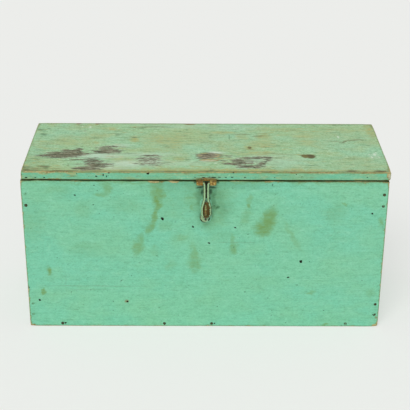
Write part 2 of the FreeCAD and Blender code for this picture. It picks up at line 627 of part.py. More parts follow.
# --------------------------------------------------------------------------- check and export
doc.recompute()
for thing in doc.Objects:
    if "Invalid" in thing.State or "Error" in thing.State:
        raise RuntimeError(f"{thing.Name} failed: {thing.State}")
os.makedirs("parts", exist_ok=True)
for thing in PIECES:
    shape = thing.Shape
    if shape.isNull() or not shape.isValid() or not shape.Solids:
        raise RuntimeError(f"{thing.Label} has no valid solid")
for thing in PIECES:
    thing.Shape.exportStep(f"parts/{thing.Label}.step")
    print(f"{thing.Label:28s} {len(thing.Shape.Solids):3d} solids {thing.Shape.Volume:12.1f} mm3")
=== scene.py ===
"""A carpenter's painted pine tool chest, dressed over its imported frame.

Sizes are millimetres until a mesh is made.  +X is right seen from the front, +Y back and +Z up.
"""
import itertools
import json
import math

import bpy
import numpy as np
from mathutils import Matrix, Vector, noise


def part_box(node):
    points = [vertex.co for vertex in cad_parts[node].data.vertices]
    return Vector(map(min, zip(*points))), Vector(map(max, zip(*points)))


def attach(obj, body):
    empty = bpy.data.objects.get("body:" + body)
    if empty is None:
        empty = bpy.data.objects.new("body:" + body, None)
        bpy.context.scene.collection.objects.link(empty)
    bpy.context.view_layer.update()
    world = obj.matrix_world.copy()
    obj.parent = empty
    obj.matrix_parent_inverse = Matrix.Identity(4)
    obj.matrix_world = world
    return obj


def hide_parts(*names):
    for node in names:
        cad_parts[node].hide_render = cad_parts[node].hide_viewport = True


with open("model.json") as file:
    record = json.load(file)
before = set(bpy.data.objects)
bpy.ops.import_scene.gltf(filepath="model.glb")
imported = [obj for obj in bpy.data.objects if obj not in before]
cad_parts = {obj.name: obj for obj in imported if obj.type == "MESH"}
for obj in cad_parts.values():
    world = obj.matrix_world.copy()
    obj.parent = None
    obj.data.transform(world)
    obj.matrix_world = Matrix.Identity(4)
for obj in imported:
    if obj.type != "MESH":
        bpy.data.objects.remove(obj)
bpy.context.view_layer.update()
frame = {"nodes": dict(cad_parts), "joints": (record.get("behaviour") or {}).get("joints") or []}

# ------------------------------------------------------------------------------------- camera
# A long lens, a little left of the middle, looking down on the front and the top of the lid.  It
# stands more than two metres off, so the chest's long edges hardly draw together.
camera = bpy.data.objects.new("camera", bpy.data.cameras.new("camera"))
camera.data.sensor_width = 36.0
camera.data.lens = 94.64
camera.data.clip_end = 60.0
camera.matrix_world = (Matrix.Translation((-0.01433, -1.99053, 1.15312))
                       @ Matrix.Rotation(math.radians(-0.445), 4, "Z")
                       @ Matrix.Rotation(math.radians(90 - 25.348), 4, "X")
                       @ Matrix.Rotation(math.radians(0.363), 4, "Z"))
bpy.context.scene.collection.objects.link(camera)
bpy.context.scene.camera = camera
bpy.context.scene.view_settings.view_transform = "Standard"


# -------------------------------------------------------------------------------- floor and light
# A pale paper floor under an even studio light: a bright dome all round, and one large soft lamp high
# in front and a little to the left, which leaves no hard shadow.
def colour(code):
    """A colour written as sRGB hex, turned to linear."""
    parts = [int(code[i:i + 2], 16) / 255 for i in (1, 3, 5)]
    return (*[p / 12.92 if p <= 0.04045 else ((p + 0.055) / 1.055) ** 2.4 for p in parts], 1.0)


def add(tree, kind, inputs=(), out=0, **settings):
    """Add a node with its settings and give its inputs values or other nodes' outputs.  A kind can go on
    with its operation, inputs come in order or by name, and out is the output to return, or None for all."""
    kind, *operation = kind.split()
    made = tree.nodes.new(kind if kind.startswith(("Geometry", "Function")) else "ShaderNode" + kind)
    settings.update(zip(("operation",), operation))
    for name, setting in settings.items():
        setattr(made, name, setting)
    for name, given in inputs.items() if isinstance(inputs, dict) else enumerate(inputs):
        if isinstance(given, bpy.types.NodeSocket):
            tree.links.new(given, made.inputs[name])
        else:
            made.inputs[name].default_value = given
    return made.outputs if out is None else made.outputs[out]


def blank_material(name):
    """An empty material, its tree and its output node."""
    material = bpy.data.materials.new(name)
    material.use_nodes = True
    material.node_tree.nodes.clear()
    return material, material.node_tree, material.node_tree.nodes.new("ShaderNodeOutputMaterial")


def plain_mesh(name, points, faces, materials):
    """A smooth-shaded mesh object from points in millimetres."""
    mesh = bpy.data.meshes.new(name)
    mesh.from_pydata([tuple(p) for p in np.asarray(points) / 1000], [], [tuple(map(int, f)) for f in faces])
    mesh.polygons.foreach_set("use_smooth", [True] * len(mesh.polygons))
    for material in materials:
        mesh.materials.append(material)
    thing = bpy.data.objects.new(name, mesh)
    bpy.context.scene.collection.objects.link(thing)
    return thing


# Background paper: matt, faintly mottled.  To the camera it looks half lit by itself, so the chest's
# shadow and its green reflection stay soft on it; everything else sees plain paper.
paper, tree, output = blank_material("matt_background_paper")
mottle = add(tree, "TexNoise", {"Scale": 3.0, "Detail": 2.0})
tone = add(tree, "Mix", {0: mottle, 6: colour("#eaeaea"), 7: colour("#eeeeed")}, 2, data_type="RGBA")
sheet = add(tree, "BsdfDiffuse", {"Color": tone})
glow = add(tree, "Emission", {"Color": colour("#f2f4ef")})
path = add(tree, "LightPath", out=None)
share = add(tree, "Math MULTIPLY", (path["Is Camera Ray"], 0.5))
tree.links.new(add(tree, "MixShader", {0: share, 1: sheet, 2: glow}), output.inputs["Surface"])
far = 15000
floor = plain_mesh("floor", [(-far, -far, 0), (far, -far, 0), (far, far, 0), (-far, far, 0)], [(0, 1, 2, 3)],
                   [paper])

world = bpy.data.worlds.new("studio")
world.use_nodes = True
bpy.context.scene.world = world
tree = world.node_tree
tree.nodes.clear()
path = add(tree, "LightPath", out=None)
seen = add(tree, "Math MAXIMUM", (path["Is Camera Ray"], path["Is Glossy Ray"]))
seen = add(tree, "Math MAXIMUM", (seen, path["Is Transmission Ray"]))
dome = add(tree, "Background", {"Color": colour("#ffffff"), "Strength": 0.5})
backdrop = add(tree, "Background", {"Color": colour("#ebedea"), "Strength": 1.0})
sky = add(tree, "MixShader", {0: seen, 1: dome, 2: backdrop})
tree.links.new(sky, tree.nodes.new("ShaderNodeOutputWorld").inputs["Surface"])

lamp = bpy.data.objects.new("studio_lamp", bpy.data.lights.new("studio_lamp", "SUN"))
lamp.data.energy = 1.86
lamp.data.angle = math.radians(42)
lamp.matrix_world = Vector((-0.16, -0.60, 0.72)).to_track_quat("Z", "Y").to_matrix().to_4x4()
bpy.context.scene.collection.objects.link(lamp)


# -------------------------------------------------------------------------- the five case boards
# Sawn pine boards about 16 mm thick, nailed up and brushed outside with two coats of green oil
# paint.  The arrises are rubbed through to the wood and the inside was never painted.
def board(node, body, paint, bare, bare_sides=(), rubs=(), ease=0.9, mortises=()):
    """A sawn board in place of a CAD node: fine quads over its box, drawn in where its arrises are worn.

    rubs are extra-worn places: x, y, z, reach and depth.  Attributes arris (millimetres to the
    nearest arris) and rub tell the paint where it has gone.  mortises are cut down from the top and
    run out at the back: first x, last x, front y and floor.
    """
    low, high = (np.array(corner) * 1000 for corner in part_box(node))
    quad = 6.0

    def lines(a, b):
        near = [t for t in (0, 0.35, 0.8, 1.4, 2.2, 3.3, 5.0, 7.5) if t < (b - a) / 2 - 0.5]
        count = max(1, round((b - a - 2 * near[-1]) / quad))
        return np.concatenate([a + np.array(near[:-1]), np.linspace(a + near[-1], b - near[-1], count + 1),
                               b - np.array(near[:-1])[::-1]])

    grid = [lines(low[i], high[i]) for i in range(3)]
    hair = 0.02
    for first, last, front, _ in mortises:
        grid[0] = np.union1d(grid[0], [first - hair, first + hair, last - hair, last + hair])
        grid[1] = np.union1d(grid[1], [front - hair, front + hair])
    shape = tuple(len(line) for line in grid)
    shell = np.ones(shape, bool)
    shell[1:-1, 1:-1, 1:-1] = False
    ids = np.full(shape, -1)
    ids[shell] = np.arange(shell.sum())
    points = np.stack(np.meshgrid(*grid, indexing="ij"), -1)[shell]
    faces, slots = [], []
    for axis in range(3):
        for side in (0, -1):
            sheet = np.take(ids, side, axis)
            quads = np.stack([sheet[:-1, :-1], sheet[1:, :-1], sheet[1:, 1:], sheet[:-1, 1:]], -1)
            quads = quads.reshape(-1, 4)
            faces.append(quads if (side == -1) != (axis == 1) else quads[:, ::-1])
            slots += [int((axis, side) in bare_sides)] * len(quads)
    gaps = np.minimum(points - low, high - points)
    arris = np.sort(gaps, 1)[:, 1]
    rub = np.zeros(len(points))
    for x, y, z, reach, depth in rubs:
        rub += depth * np.exp(-((points - (x, y, z)) ** 2).sum(1) / reach ** 2)
    radius = np.full(len(points), ease)
    for i in np.nonzero(arris < 12)[0]:
        p = Vector(points[i])
        radius[i] = (ease * (0.75 + 0.5 * noise.noise(p / 30)) + 1.6 * max(0.0, noise.noise(p / 11) - 0.25)
                     + rub[i] * (0.7 + 0.6 * noise.noise(p / 5)))
    deepest = min(7.0, 0.45 * (high - low).min())
    radius = np.clip(radius, 0.2, deepest)[:, None]
    core = np.clip(points, low + radius, high - radius)
    away = points - core
    points = core + away * (radius / np.linalg.norm(away, axis=1)[:, None])
    for first, last, front, floor in mortises:
        cut = (points > (first, front, floor)).all(1) & (points[:, 0] < last)
        points[cut, 2] = floor + hair * (points[cut, 2] - floor)
    thing = plain_mesh(node + "_board", points, np.concatenate(faces), [paint, bare])
    thing.data.polygons.foreach_set("material_index", slots)
    for name, values in (("arris", arris), ("rub", rub)):
        thing.data.attributes.new(name, "FLOAT", "POINT").data.foreach_set("value", values.astype(np.float32))
    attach(thing, body)
    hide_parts(node)


EASED = {"interpolation_type": "SMOOTHSTEP"}


def blots(tree, point, places, soft=0.35):
    """A mask of soft ellipses.  Each place is u, v, half length, half width and strength.  It may go on
    with a turn in degrees, and then with w and a depth, to keep it to one face.

    A blot's height hangs on the mask so far.  That moves it by nothing that shows, and makes the renderer
    work through a long list one blot at a time, where it would otherwise run out of room."""
    mask = None
    for u, v, long, wide, strength, *rest in places:
        turn, *face = rest or (0,)
        w, deep = face or (0, 1e4)
        centre = (u, v, w) if face or mask is None else add(tree, "CombineXYZ", (u, v, mask))
        local = add(tree, "Mapping", {"Vector": point, "Location": centre, "Scale": (long, wide, deep),
                                      "Rotation": (0, 0, math.radians(turn))}, vector_type="TEXTURE")
        far = add(tree, "VectorMath LENGTH", (local,), 1)
        spot = add(tree, "MapRange", (far, 1 + soft, 1 - soft, 0.0, strength), **EASED)
        mask = spot if mask is None else add(tree, "Math MAXIMUM", (mask, spot))
    return mask


def board_place(tree, axes):
    """Millimetres along the grain, across it and through the board, from the piece's own coordinates."""
    place = add(tree, "VectorMath SCALE", {0: add(tree, "TexCoord", out="Object"), "Scale": 1000.0})
    split = add(tree, "SeparateXYZ", (place,), None)
    return add(tree, "CombineXYZ", [split["XYZ".index(axis)] for axis in axes])


def figure(tree, place, mm, detail=4.0, rough=0.5, twist=0.0, out=0):
    """Grain, brush marks or blotches: noise with features mm long, wide and deep."""
    scaled = add(tree, "VectorMath MULTIPLY", (place, tuple(1 / m for m in mm)))
    return add(tree, "TexNoise", {"Vector": scaled, "Scale": 1.0, "Detail": detail, "Roughness": rough,
                                  "Distortion": twist}, out)


def laid(tree, finish, *layers):
    """Finishes laid one over another.  Each layer is a finish and the mask it shows in, and may go on with
    where the mask starts and is full, and with the least and the most that then shows."""
    finish = colour(finish) if isinstance(finish, str) else finish
    for above, mask, *ends in layers:
        above = colour(above) if isinstance(above, str) else above
        mask = add(tree, "MapRange", (mask, *ends), **EASED) if ends else mask
        finish = add(tree, "Mix", {0: mask, 6: finish, 7: above}, 2, data_type="RGBA")
    return finish


def painted_pine(name, axes, tones, seed=0.0, drift=0.35, streaks=0.4, contrast=0.6, hairs=0.25, worn=1.0,
                 grimy=1.0, rim=None, side=None, stains=(), tan=(), pale=(), patches=(), knots=(), darkening=(),
                 rust=(), chips=(), pits=(), cracks_and_shadows=(), seams=(), flecks=()):
    """Old oil paint on pine: brush-marked along the grain, drifting from mint to olive, stained, chipped
    and rubbed through to tan wood at the arrises.  Brush marks 3 mm wide over a grain of 1.2 mm.

    The lists are blots, in millimetres along and across the grain: olive stains, tan and pale places where
    the coat is thin, patches torn down to grey wood, knots, dark green darkening, rust, chips, black pits,
    cracks_and_shadows, brown seams worn into the coat and pale flecks.  The darkening is grime, and painted
    shadow where the hasp stands off the board; cracks_and_shadows holds real cracks and the painted shadow
    under and between the hasp's knuckles and legs.  side gives other tones to the board's edges below a
    height, and rim is the height that a dark band lies up to: painted shade in the gap under the lid."""
    material, tree, output = blank_material(name)
    flat = board_place(tree, axes)
    _, across, through = add(tree, "SeparateXYZ", (flat,), None)
    shifted = add(tree, "VectorMath ADD", (flat, (seed, seed * 1.7, seed * 0.3)))

    def wandered(mm, far, rough=0.6):
        """The board's place pushed about by noise, so that the edges of blots come out ragged."""
        push = figure(tree, shifted, mm, 4.0, rough, out=1)
        push = add(tree, "VectorMath SUBTRACT", (push, (0.5, 0.5, 0.5)))
        return add(tree, "VectorMath MULTIPLY_ADD", (push, far, flat))

    cloud = figure(tree, shifted, (130, 95, 60), 3.0, 0.55)
    drifted = figure(tree, shifted, (70, 42, 40), 5.0, 0.62)
    brush = figure(tree, shifted, (60, 3.0, 5), 5.0, 0.68, 0.15)
    grain = figure(tree, shifted, (34, 1.2, 3), 3.0, 0.7)
    mottle = figure(tree, shifted, (13, 7, 7), 5.0, 0.7, 0.3)
    fine = figure(tree, shifted, (3.6, 2.4, 2.4), 3.0, 0.75)
    soft_place = wandered((24, 20, 20), (26, 34, 0))
    torn_place = wandered((34, 5.5, 9), (60, 18, 0), 0.7)
    crisp_place = wandered((7, 7, 7), (6, 6, 0))
    smooth_place = wandered((30, 16, 16), (12, 5, 0))

    # The coat itself, then the marks on it.
    paint = laid(tree, tones[0], (tones[1], cloud, 0.38, 0.62), (tones[2], drifted, 0.44, 0.66, 0, drift))
    dirt_wide, on_top, speckle = grimy, 1.0, [contrast, contrast * 0.8]
    if side:
        height, first, second = side
        on_top = add(tree, "MapRange", (through, height - 1.6, height + 0.6), **EASED)
        paint = laid(tree, first, (second, drifted, 0.46, 0.66), (paint, on_top))
        near_side = add(tree, "Math ABSOLUTE", (across,))
        near_side = add(tree, "MapRange", (near_side, 92, 114, 0.2, 1.0), **EASED)
        dirt_wide = add(tree, "Math MULTIPLY", (on_top, near_side))
        dirt_wide = add(tree, "Math MULTIPLY_ADD", (dirt_wide, grimy - 0.7, 0.7))
        speckle = [add(tree, "Math MULTIPLY_ADD", (on_top, 0.6 * most, 0.4 * most)) for most in speckle]
    paint = laid(tree, paint, (tones[3], brush, 0.4, 0.68, 0, streaks),
                 (tones[4], mottle, 0.5, 0.72, 0, speckle[0]), (tones[5], mottle, 0.48, 0.3, 0, speckle[1]),
                 (tones[5], fine, 0.5, 0.7, 0, speckle[0]), (tones[4], fine, 0.46, 0.3, 0, speckle[1]))
    for tone, places, place, soft, broken_by, ends in (
            ("#a5a45c", tan, soft_place, 0.8, mottle, (0.3, 0.66, 0.25, 1.0)),
            ("#c2d9c2", pale, torn_place, 0.8, brush, (0.3, 0.62, 0.3, 1.0)),
            ("#6d954f", stains, soft_place, 0.6, mottle, (0.32, 0.62, 0.62, 1.2)),
            # Dark green: grime, and painted shadow around the hasp.
            ("#2f6137", darkening, soft_place, 0.8, mottle, (0.3, 0.6, 0.6, 1.0)),
            ("#8a6428", rust, crisp_place, 0.5, mottle, (0.36, 0.56, 0.5, 1.0))):
        if places:
            broken = add(tree, "MapRange", (broken_by, *ends), **EASED)
            depth = add(tree, "Math MULTIPLY", (blots(tree, place, places, soft), broken))
            paint = laid(tree, paint, (tone, depth))

    # Streaks a few millimetres wide: dark green in drifting patches and, where hairs is high, yellow below.
    streaked = [("#4c6e48", (36, 4.0, 4), 5.0, 0.78, (0.54, 0.66), drifted, (0.36, 0.56, 0, hairs))]
    if hairs > 0.5:
        streaked.insert(0, ("#aea25e", (30, 6.5, 6), 4.0, 0.7, (0.54, 0.68), cloud, (0.4, 0.6, 0, 0.7)))
    for tone, mm, detail, rough, ends, spread, spread_ends in streaked:
        hair = add(tree, "MapRange", (figure(tree, shifted, mm, detail, rough), *ends), **EASED)
        spread = add(tree, "MapRange", (spread, *spread_ends), **EASED)
        paint = laid(tree, paint, (tone, add(tree, "Math MULTIPLY", (hair, spread))))

    # Worn to the wood: along the arrises, in listed chips, and in larger patches torn along the grain.
    arris = add(tree, "Attribute", out="Fac", attribute_name="arris")
    rub = add(tree, "Attribute", out="Fac", attribute_name="rub")
    reach = figure(tree, shifted, (26, 10, 10), 4.0, 0.7)
    reach = add(tree, "MapRange", (reach, 0.46, 0.8, 0.1, 3.0 * worn), **EASED)
    reach = add(tree, "Math MULTIPLY_ADD", (rub, 1.5, reach))
    broken = [add(tree, "MapRange", (fine, 0.25, 0.75, 0.4, 1.6), **EASED)]
    if side:
        broken += [add(tree, "Math MULTIPLY_ADD", (on_top, 0.7, 0.3)),
                   add(tree, "MapRange", (mottle, 0.4, 0.56, 0.12, 1.5), **EASED)]
    for share in broken:
        reach = add(tree, "Math MULTIPLY", (reach, share))
    past = add(tree, "Math SUBTRACT", (reach, arris))
    bare = add(tree, "MapRange", (past, 0.0, 0.5), **EASED)
    dirty = add(tree, "Math DIVIDE", (past, dirt_wide))
    dirty = add(tree, "MapRange", (dirty, -2.6, 0.2, 0, 0.75), **EASED)
    if chips:
        chip = blots(tree, crisp_place, chips, 0.3)
        chipped = add(tree, "MapRange", (chip, 0.45, 0.6), **EASED)
        bare = add(tree, "Math MAXIMUM", (bare, chipped))
        chipped = add(tree, "MapRange", (chip, 0.1, 0.5, 0, 0.8), **EASED)
        dirty = add(tree, "Math MAXIMUM", (dirty, chipped))
    wood = laid(tree, "#bfb583", ("#8c8450", grain, 0.35, 0.66), ("#4d4a25", mottle, 0.5, 0.7, 0, 0.8))
    surface = laid(tree, paint, ("#6d7c44", dirty), (wood, bare))
    if patches:
        torn = blots(tree, torn_place, patches, 0.7)
        for mm, detail, depth in (((7, 4.2, 5), 3.0, 1.5), ((34, 4.2, 6), 4.0, 2.2)):
            torn = add(tree, "Math MULTIPLY_ADD", (figure(tree, shifted, mm, detail, 0.7), depth, torn))
        ridges = figure(tree, shifted, (26, 4.6, 7), 5.0, 0.85)
        crests = figure(tree, shifted, (11, 4.2, 4), 4.0, 0.8)
        old_wood = laid(tree, "#383725", ("#807b65", ridges, 0.43, 0.58),
                        ("#bbb59c", crests, 0.55, 0.68, 0, 0.85), ("#a3ab9a", torn, 2.7, 2.36, 0, 0.5))
        torn = add(tree, "MapRange", (torn, 2.12, 2.5), **EASED)
        surface = laid(tree, surface, (old_wood, add(tree, "Math MULTIPLY", (torn, 0.92))))
        bare = add(tree, "Math MAXIMUM", (bare, torn))
    if knots:
        knot = laid(tree, "#6b6827", ("#433c10", mottle, 0.4, 0.6))
        surface = laid(tree, surface, (knot, blots(tree, crisp_place, knots, 0.3)))
    if seams:
        seam = add(tree, "MapRange", (mottle, 0.34, 0.6, 0.45, 1.0), **EASED)
        for share in (blots(tree, smooth_place, seams, 0.6), on_top):
            seam = add(tree, "Math MULTIPLY", (seam, share))
        surface = laid(tree, surface, ("#5a4f24", seam))
    if flecks:
        fleck = add(tree, "Math MULTIPLY", (blots(tree, crisp_place, flecks, 0.5), 0.75))
        surface = laid(tree, surface, ("#cbdcc6", fleck))

    # Specks, pits, cracks and painted shadows are nearly black, and a dark band along the rim is painted
    # shade.
    dark = figure(tree, shifted, (5.0, 3.4, 3.4), 2.0, 0.5)
    dark = add(tree, "MapRange", (dark, 0.735, 0.775, 0, 0.85), **EASED)
    if pits:
        pit = add(tree, "MapRange", (blots(tree, crisp_place, pits, 0.35), 0.2, 0.7), **EASED)
        dark = add(tree, "Math MAXIMUM", (dark, pit))
    if cracks_and_shadows:
        dark = add(tree, "Math MAXIMUM", (dark, blots(tree, crisp_place, cracks_and_shadows, 0.6)))
    surface = laid(tree, surface, ("#0f1d0b", dark))
    # The band just below the rim height paints the shade that falls in the gap under the lid.
    if rim:
        _, uneven, _ = add(tree, "SeparateXYZ", (smooth_place,), None)
        surface = laid(tree, surface, ("#213f16", uneven, rim - 1.3, rim - 0.3, 0, 0.92))

    height = add(tree, "Math MULTIPLY", (mottle, 0.05))
    for relief, mm in ((brush, 0.10), (grain, 0.07), (bare, -0.12), (dark, -0.6)):
        height = add(tree, "Math MULTIPLY_ADD", (relief, mm, height))
    bump = add(tree, "Bump", {"Height": height, "Distance": 0.001, "Strength": 1.0})
    rough = add(tree, "Math MAXIMUM", (bare, dark))
    rough = add(tree, "MapRange", (rough, 0.0, 1.0, 0.5, 0.85), **EASED)
    shader = add(tree, "BsdfPrincipled", {"Base Color": surface, "Roughness": rough, "Normal": bump,
                                          "IOR": 1.48, "Specular IOR Level": 0.35})
    tree.links.new(shader, output.inputs["Surface"])
    return material


def bare_pine(name, axes, tones=("#c8a26c", "#a87b45", "#8a6034"), darkening=0.5, seed=0.0):
    """Unpainted pine gone tan with age: straight rings 3 to 6 mm apart, brown knots and handling grime."""
    material, tree, output = blank_material(name)
    shifted = add(tree, "VectorMath ADD", (board_place(tree, axes), (seed, seed * 1.3, seed)))
    bent = figure(tree, shifted, (260, 45, 45), 2.0, out=1)
    bent = add(tree, "VectorMath MULTIPLY_ADD", (bent, (0, 34, 0), shifted))
    rings = figure(tree, bent, (420, 4.6, 9), 2.5)
    fibre = figure(tree, shifted, (40, 0.9, 0.9), 3.0)
    dirt = figure(tree, shifted, (80, 45, 45), 6.0)
    knot = add(tree, "VectorMath MULTIPLY", (bent, (1 / 190, 1 / 95, 1 / 400)))
    knot = add(tree, "TexVoronoi", {"Vector": knot, "Scale": 1.0}, "Distance")
    wood = laid(tree, tones[0], (tones[1], add(tree, "MapRange", (rings, 0.42, 0.6))),
                (tones[2], add(tree, "MapRange", (fibre, 0.5, 0.75, 0, 0.35))), ("#5e3a1c", knot, 0.11, 0.05),
                ("#5d4a33", add(tree, "MapRange", (dirt, 0.45, 0.75, 0, darkening))))
    height = add(tree, "Math MULTIPLY_ADD", (rings, 0.12, fibre))
    bump = add(tree, "Bump", {"Height": height, "Distance": 0.0001, "Strength": 0.8})
    rough = add(tree, "MapRange", (dirt, 0.4, 0.7, 0.78, 0.62))
    shader = add(tree, "BsdfPrincipled", {"Base Color": wood, "Roughness": rough, "Normal": bump, "IOR": 1.5,
                                          "Specular IOR Level": 0.3})
    tree.links.new(shader, output.inputs["Surface"])
    return material


def box(node):
    """The low and the high corner of a CAD node's box, in millimetres."""
    return np.round(np.array(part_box(node)) * 1000, 3).tolist()


def middle(node):
    """The middle of a CAD node's box, in millimetres."""
    return [(low + high) / 2 for low, high in zip(*box(node))]


(_, front_y, _), (HALF_LONG, inside_y, RIM) = box("front_board")
HALF_DEEP, BOARD = -front_y, inside_y - front_y
BOTTOM, LEAF = box("bottom_board")[1][2], 1.6
FRONT_TONES = ("#79c9a8", "#7fc8a2", "#87c596", "#6bb78f", "#8ed2b0", "#63a681")
pine_long = bare_pine("aged_bare_pine_long", "XZY", seed=10)
pine_cross = bare_pine("aged_bare_pine_cross", "YZX", seed=55)
pine_floor = bare_pine("aged_bare_pine_floor", "XYZ", ("#a98655", "#8a6539", "#6e4d2a"), darkening=0.8, seed=90)

front_paint = painted_pine(
    "green_paint_on_front_board", "XZY", FRONT_TONES, rim=RIM,
    stains=[(-187, 306, 9, 12, 0.5), (-199, 293, 12, 5, 0.45, 20), (-94, 310, 9, 13, 0.5),
            (-90, 292, 11, 24, 0.65, -6), (-92, 279, 7, 15, 0.8), (-79, 294, 5, 9, 0.5),
            (-96, 250, 5.5, 26, 0.7, -8), (-105, 223, 7, 13, 0.6, -30), (-78, 226, 12, 13, 0.2),
            (-121, 200, 6, 10, 0.45), (-128, 179, 10, 19, 0.5, -16), (-96, 170, 9, 12, 0.2),
            (-21, 163, 8, 22, 0.45), (-20, 141, 12, 14, 0.5), (-28, 287, 12, 5, 0.45), (-24, 263, 5, 5, 0.45),
            (-305, 124, 5, 9, 0.8), (-319, 81, 5.5, 5.5, 0.8), (-330, 233, 22, 46, 0.16),
            (-233, 259, 15, 15, 0.16), (-230, 174, 30, 15, 0.14), (-278, 302, 24, 12, 0.2),
            (-152, 270, 30, 16, 0.16), (-48, 200, 13, 10, 0.3), (-66, 140, 10, 14, 0.22, -40),
            (126, 247, 12, 17, 0.72, -14), (120, 232, 14, 18, 0.74, -18), (113, 219, 15, 15, 0.76, -20),
            (85, 271, 4.5, 6, 0.8), (86, 284, 5, 9, 0.35), (80, 246, 8, 16, 0.3, -12), (58, 175, 8, 12, 0.6),
            (55, 197, 4, 12, 0.4), (35, 203, 26, 12, 0.16), (170, 204, 5, 36, 0.25, 30),
            (270, 271, 5, 3, 0.5), (250, 255, 22, 15, 0.22), (342, 235, 6, 9, 0.5), (211, 78, 7, 3.5, 0.4),
            (328, 79, 8, 7, 0.25), (244, 6, 5, 3, 0.6), (28, 286, 8, 8, 0.4), (0, 319, 352, 3.5, 0.35),
            (3, 288, 46, 40, 0.36), (14, 250, 30, 30, 0.34), (-64, 282, 36, 40, 0.17)],
    # Around the hasp this darkening is painted shadow cast by the hasp and its wire; the two long faint bands
    # darken the board just below the rim.
    darkening=[(23, 263, 5, 6, 0.95), (16, 282, 7, 32, 0.7), (34, 262, 14, 16, 0.3), (-10, 292, 7, 28, 0.5),
           (2.5, 286, 8.5, 34, 0.95), (2, 248, 16, 18, 0.55), (-40, 312, 60, 7, 0.25), (60, 312, 60, 7, 0.25),
           (26, 286, 12, 22, 0.3)],
    # Painted shadow: black under and between the hasp's knuckles, between its legs and beside its neck.
    cracks_and_shadows=[(-9.5, 308, 7, 1.5, 0.75, 8), (14.5, 308, 7, 1.5, 0.75, -8), (2.6, 286, 2.2, 31, 0.85),
            (2.6, 316, 6.5, 6, 1.0), (-4.8, 298, 2.4, 5, 0.7), (11, 299, 2.6, 6, 0.7),
            (-19, 318.5, 3, 2.6, 0.7), (24, 318.5, 3, 2.6, 0.7)],
    seams=[(200, 320, 60, 1.3, 0.7), (90, 320.3, 26, 1.1, 0.6), (295, 320, 46, 1.3, 0.6),
           (-225, 92.5, 100, 1.1, 0.3), (-274, 105, 1.0, 14, 0.15), (60, 190.5, 34, 1.1, 0.25),
           (-230, 84.5, 60, 1.0, 0.18)],
    rust=[(-81, 319.5, 5, 1.6, 0.9), (-154.6, 58, 3.6, 3.4, 0.8), (346, 21, 2, 2.6, 0.9)],
    chips=[(-96, 319, 9, 2.4, 1.0), (-58, 319, 8, 2.0, 1.0), (123, 319.5, 6, 1.4, 1.0), (344, 3, 5, 3, 1.0),
           (-344, 2, 5, 2.4, 1.0)],
    pits=[(-82, 241.5, 2.9, 3.2, 1, 30), (189, 149, 3.2, 3.0, 1), (165, 112.6, 2.4, 2.0, 1),
          (-153.5, 57, 1.8, 2.8, 1, 30), (-328, 60.5, 2.6, 1.8, 1, -25), (-322, 60, 1.4, 1.2, 0.37),
          (322, 253, 1.8, 1.8, 1), (59, 223, 1.7, 1.6, 0.9), (8.4, 189.5, 2.2, 1.7, 0.9, -20),
          (-248, 290.5, 2.2, 1.5, 0.53), (-22.5, 224, 2.4, 1.2, 0.9, -40), (-165, 104.6, 3.4, 1.0, 0.5, 25),
          (-127, 145, 2.6, 1.0, 0.43), (-226, 83, 1.2, 3, 0.37), (-264, 78, 1.1, 2, 0.43),
          (-175, 245, 1.2, 1.6, 0.43), (-180, 287, 1.2, 2.4, 0.37, 20), (-257, 286, 1.6, 4, 0.28, 10),
          (-243, 277.5, 3.4, 1.6, 0.28, -20), (-264, 248, 1.4, 1.2, 0.37), (84, 208, 2.4, 1.2, 0.43),
          (135, 37, 1.0, 2, 0.43), (135, 26, 1.4, 1.4, 0.43), (183, 96, 2.4, 0.9, 0.43, -20),
          (239, 37.5, 2, 1.4, 0.5), (-91, 43.5, 2, 1, 0.43), (53, 306, 1.5, 1.3, 0.43),
          (128, 313, 1.0, 3.6, 0.5), (340, 28, 2.2, 1.0, 0.9), (-80, 5, 1.1, 3, 0.9), (285, 6, 3, 1.4, 0.5),
          (21, 6, 1.6, 1.4, 0.9), (-279, 7, 1.6, 1.6, 0.9), (282, 298, 1.2, 1.2, 0.37),
          (-56, 235, 1.3, 2, 0.31), (-348, 89, 1.4, 2.4, 0.5)])
back_paint = painted_pine(
    "green_paint_on_back_board", "XZY", FRONT_TONES, seed=400, rim=RIM,
    stains=[(-200, 220, 22, 40, 0.4, 10), (90, 120, 14, 30, 0.45), (250, 250, 20, 30, 0.4, -20),
            (-60, 60, 40, 10, 0.3)],
    chips=[(-120, 318, 10, 3, 1.0), (180, 3, 12, 4, 1.0)],
    pits=[(60, 200, 2.5, 2.5, 1.0), (-260, 90, 2.2, 2.2, 1.0)])
end_paint = painted_pine(
    "green_paint_on_end_boards", "YZX", FRONT_TONES, seed=700, rim=RIM, worn=1.2,
    stains=[(0, 178, 46, 30, 0.35), (-50, 80, 12, 30, 0.4), (46, 160, 8, 46, 0.5), (-46, 160, 8, 40, 0.45)],
    chips=[(30, 3, 14, 4, 1.0), (-80, 318, 10, 3, 1.0)],
    pits=[(70, 130, 2.2, 2.2, 1.0), (-20, 60, 2.5, 2.5, 1.0)])

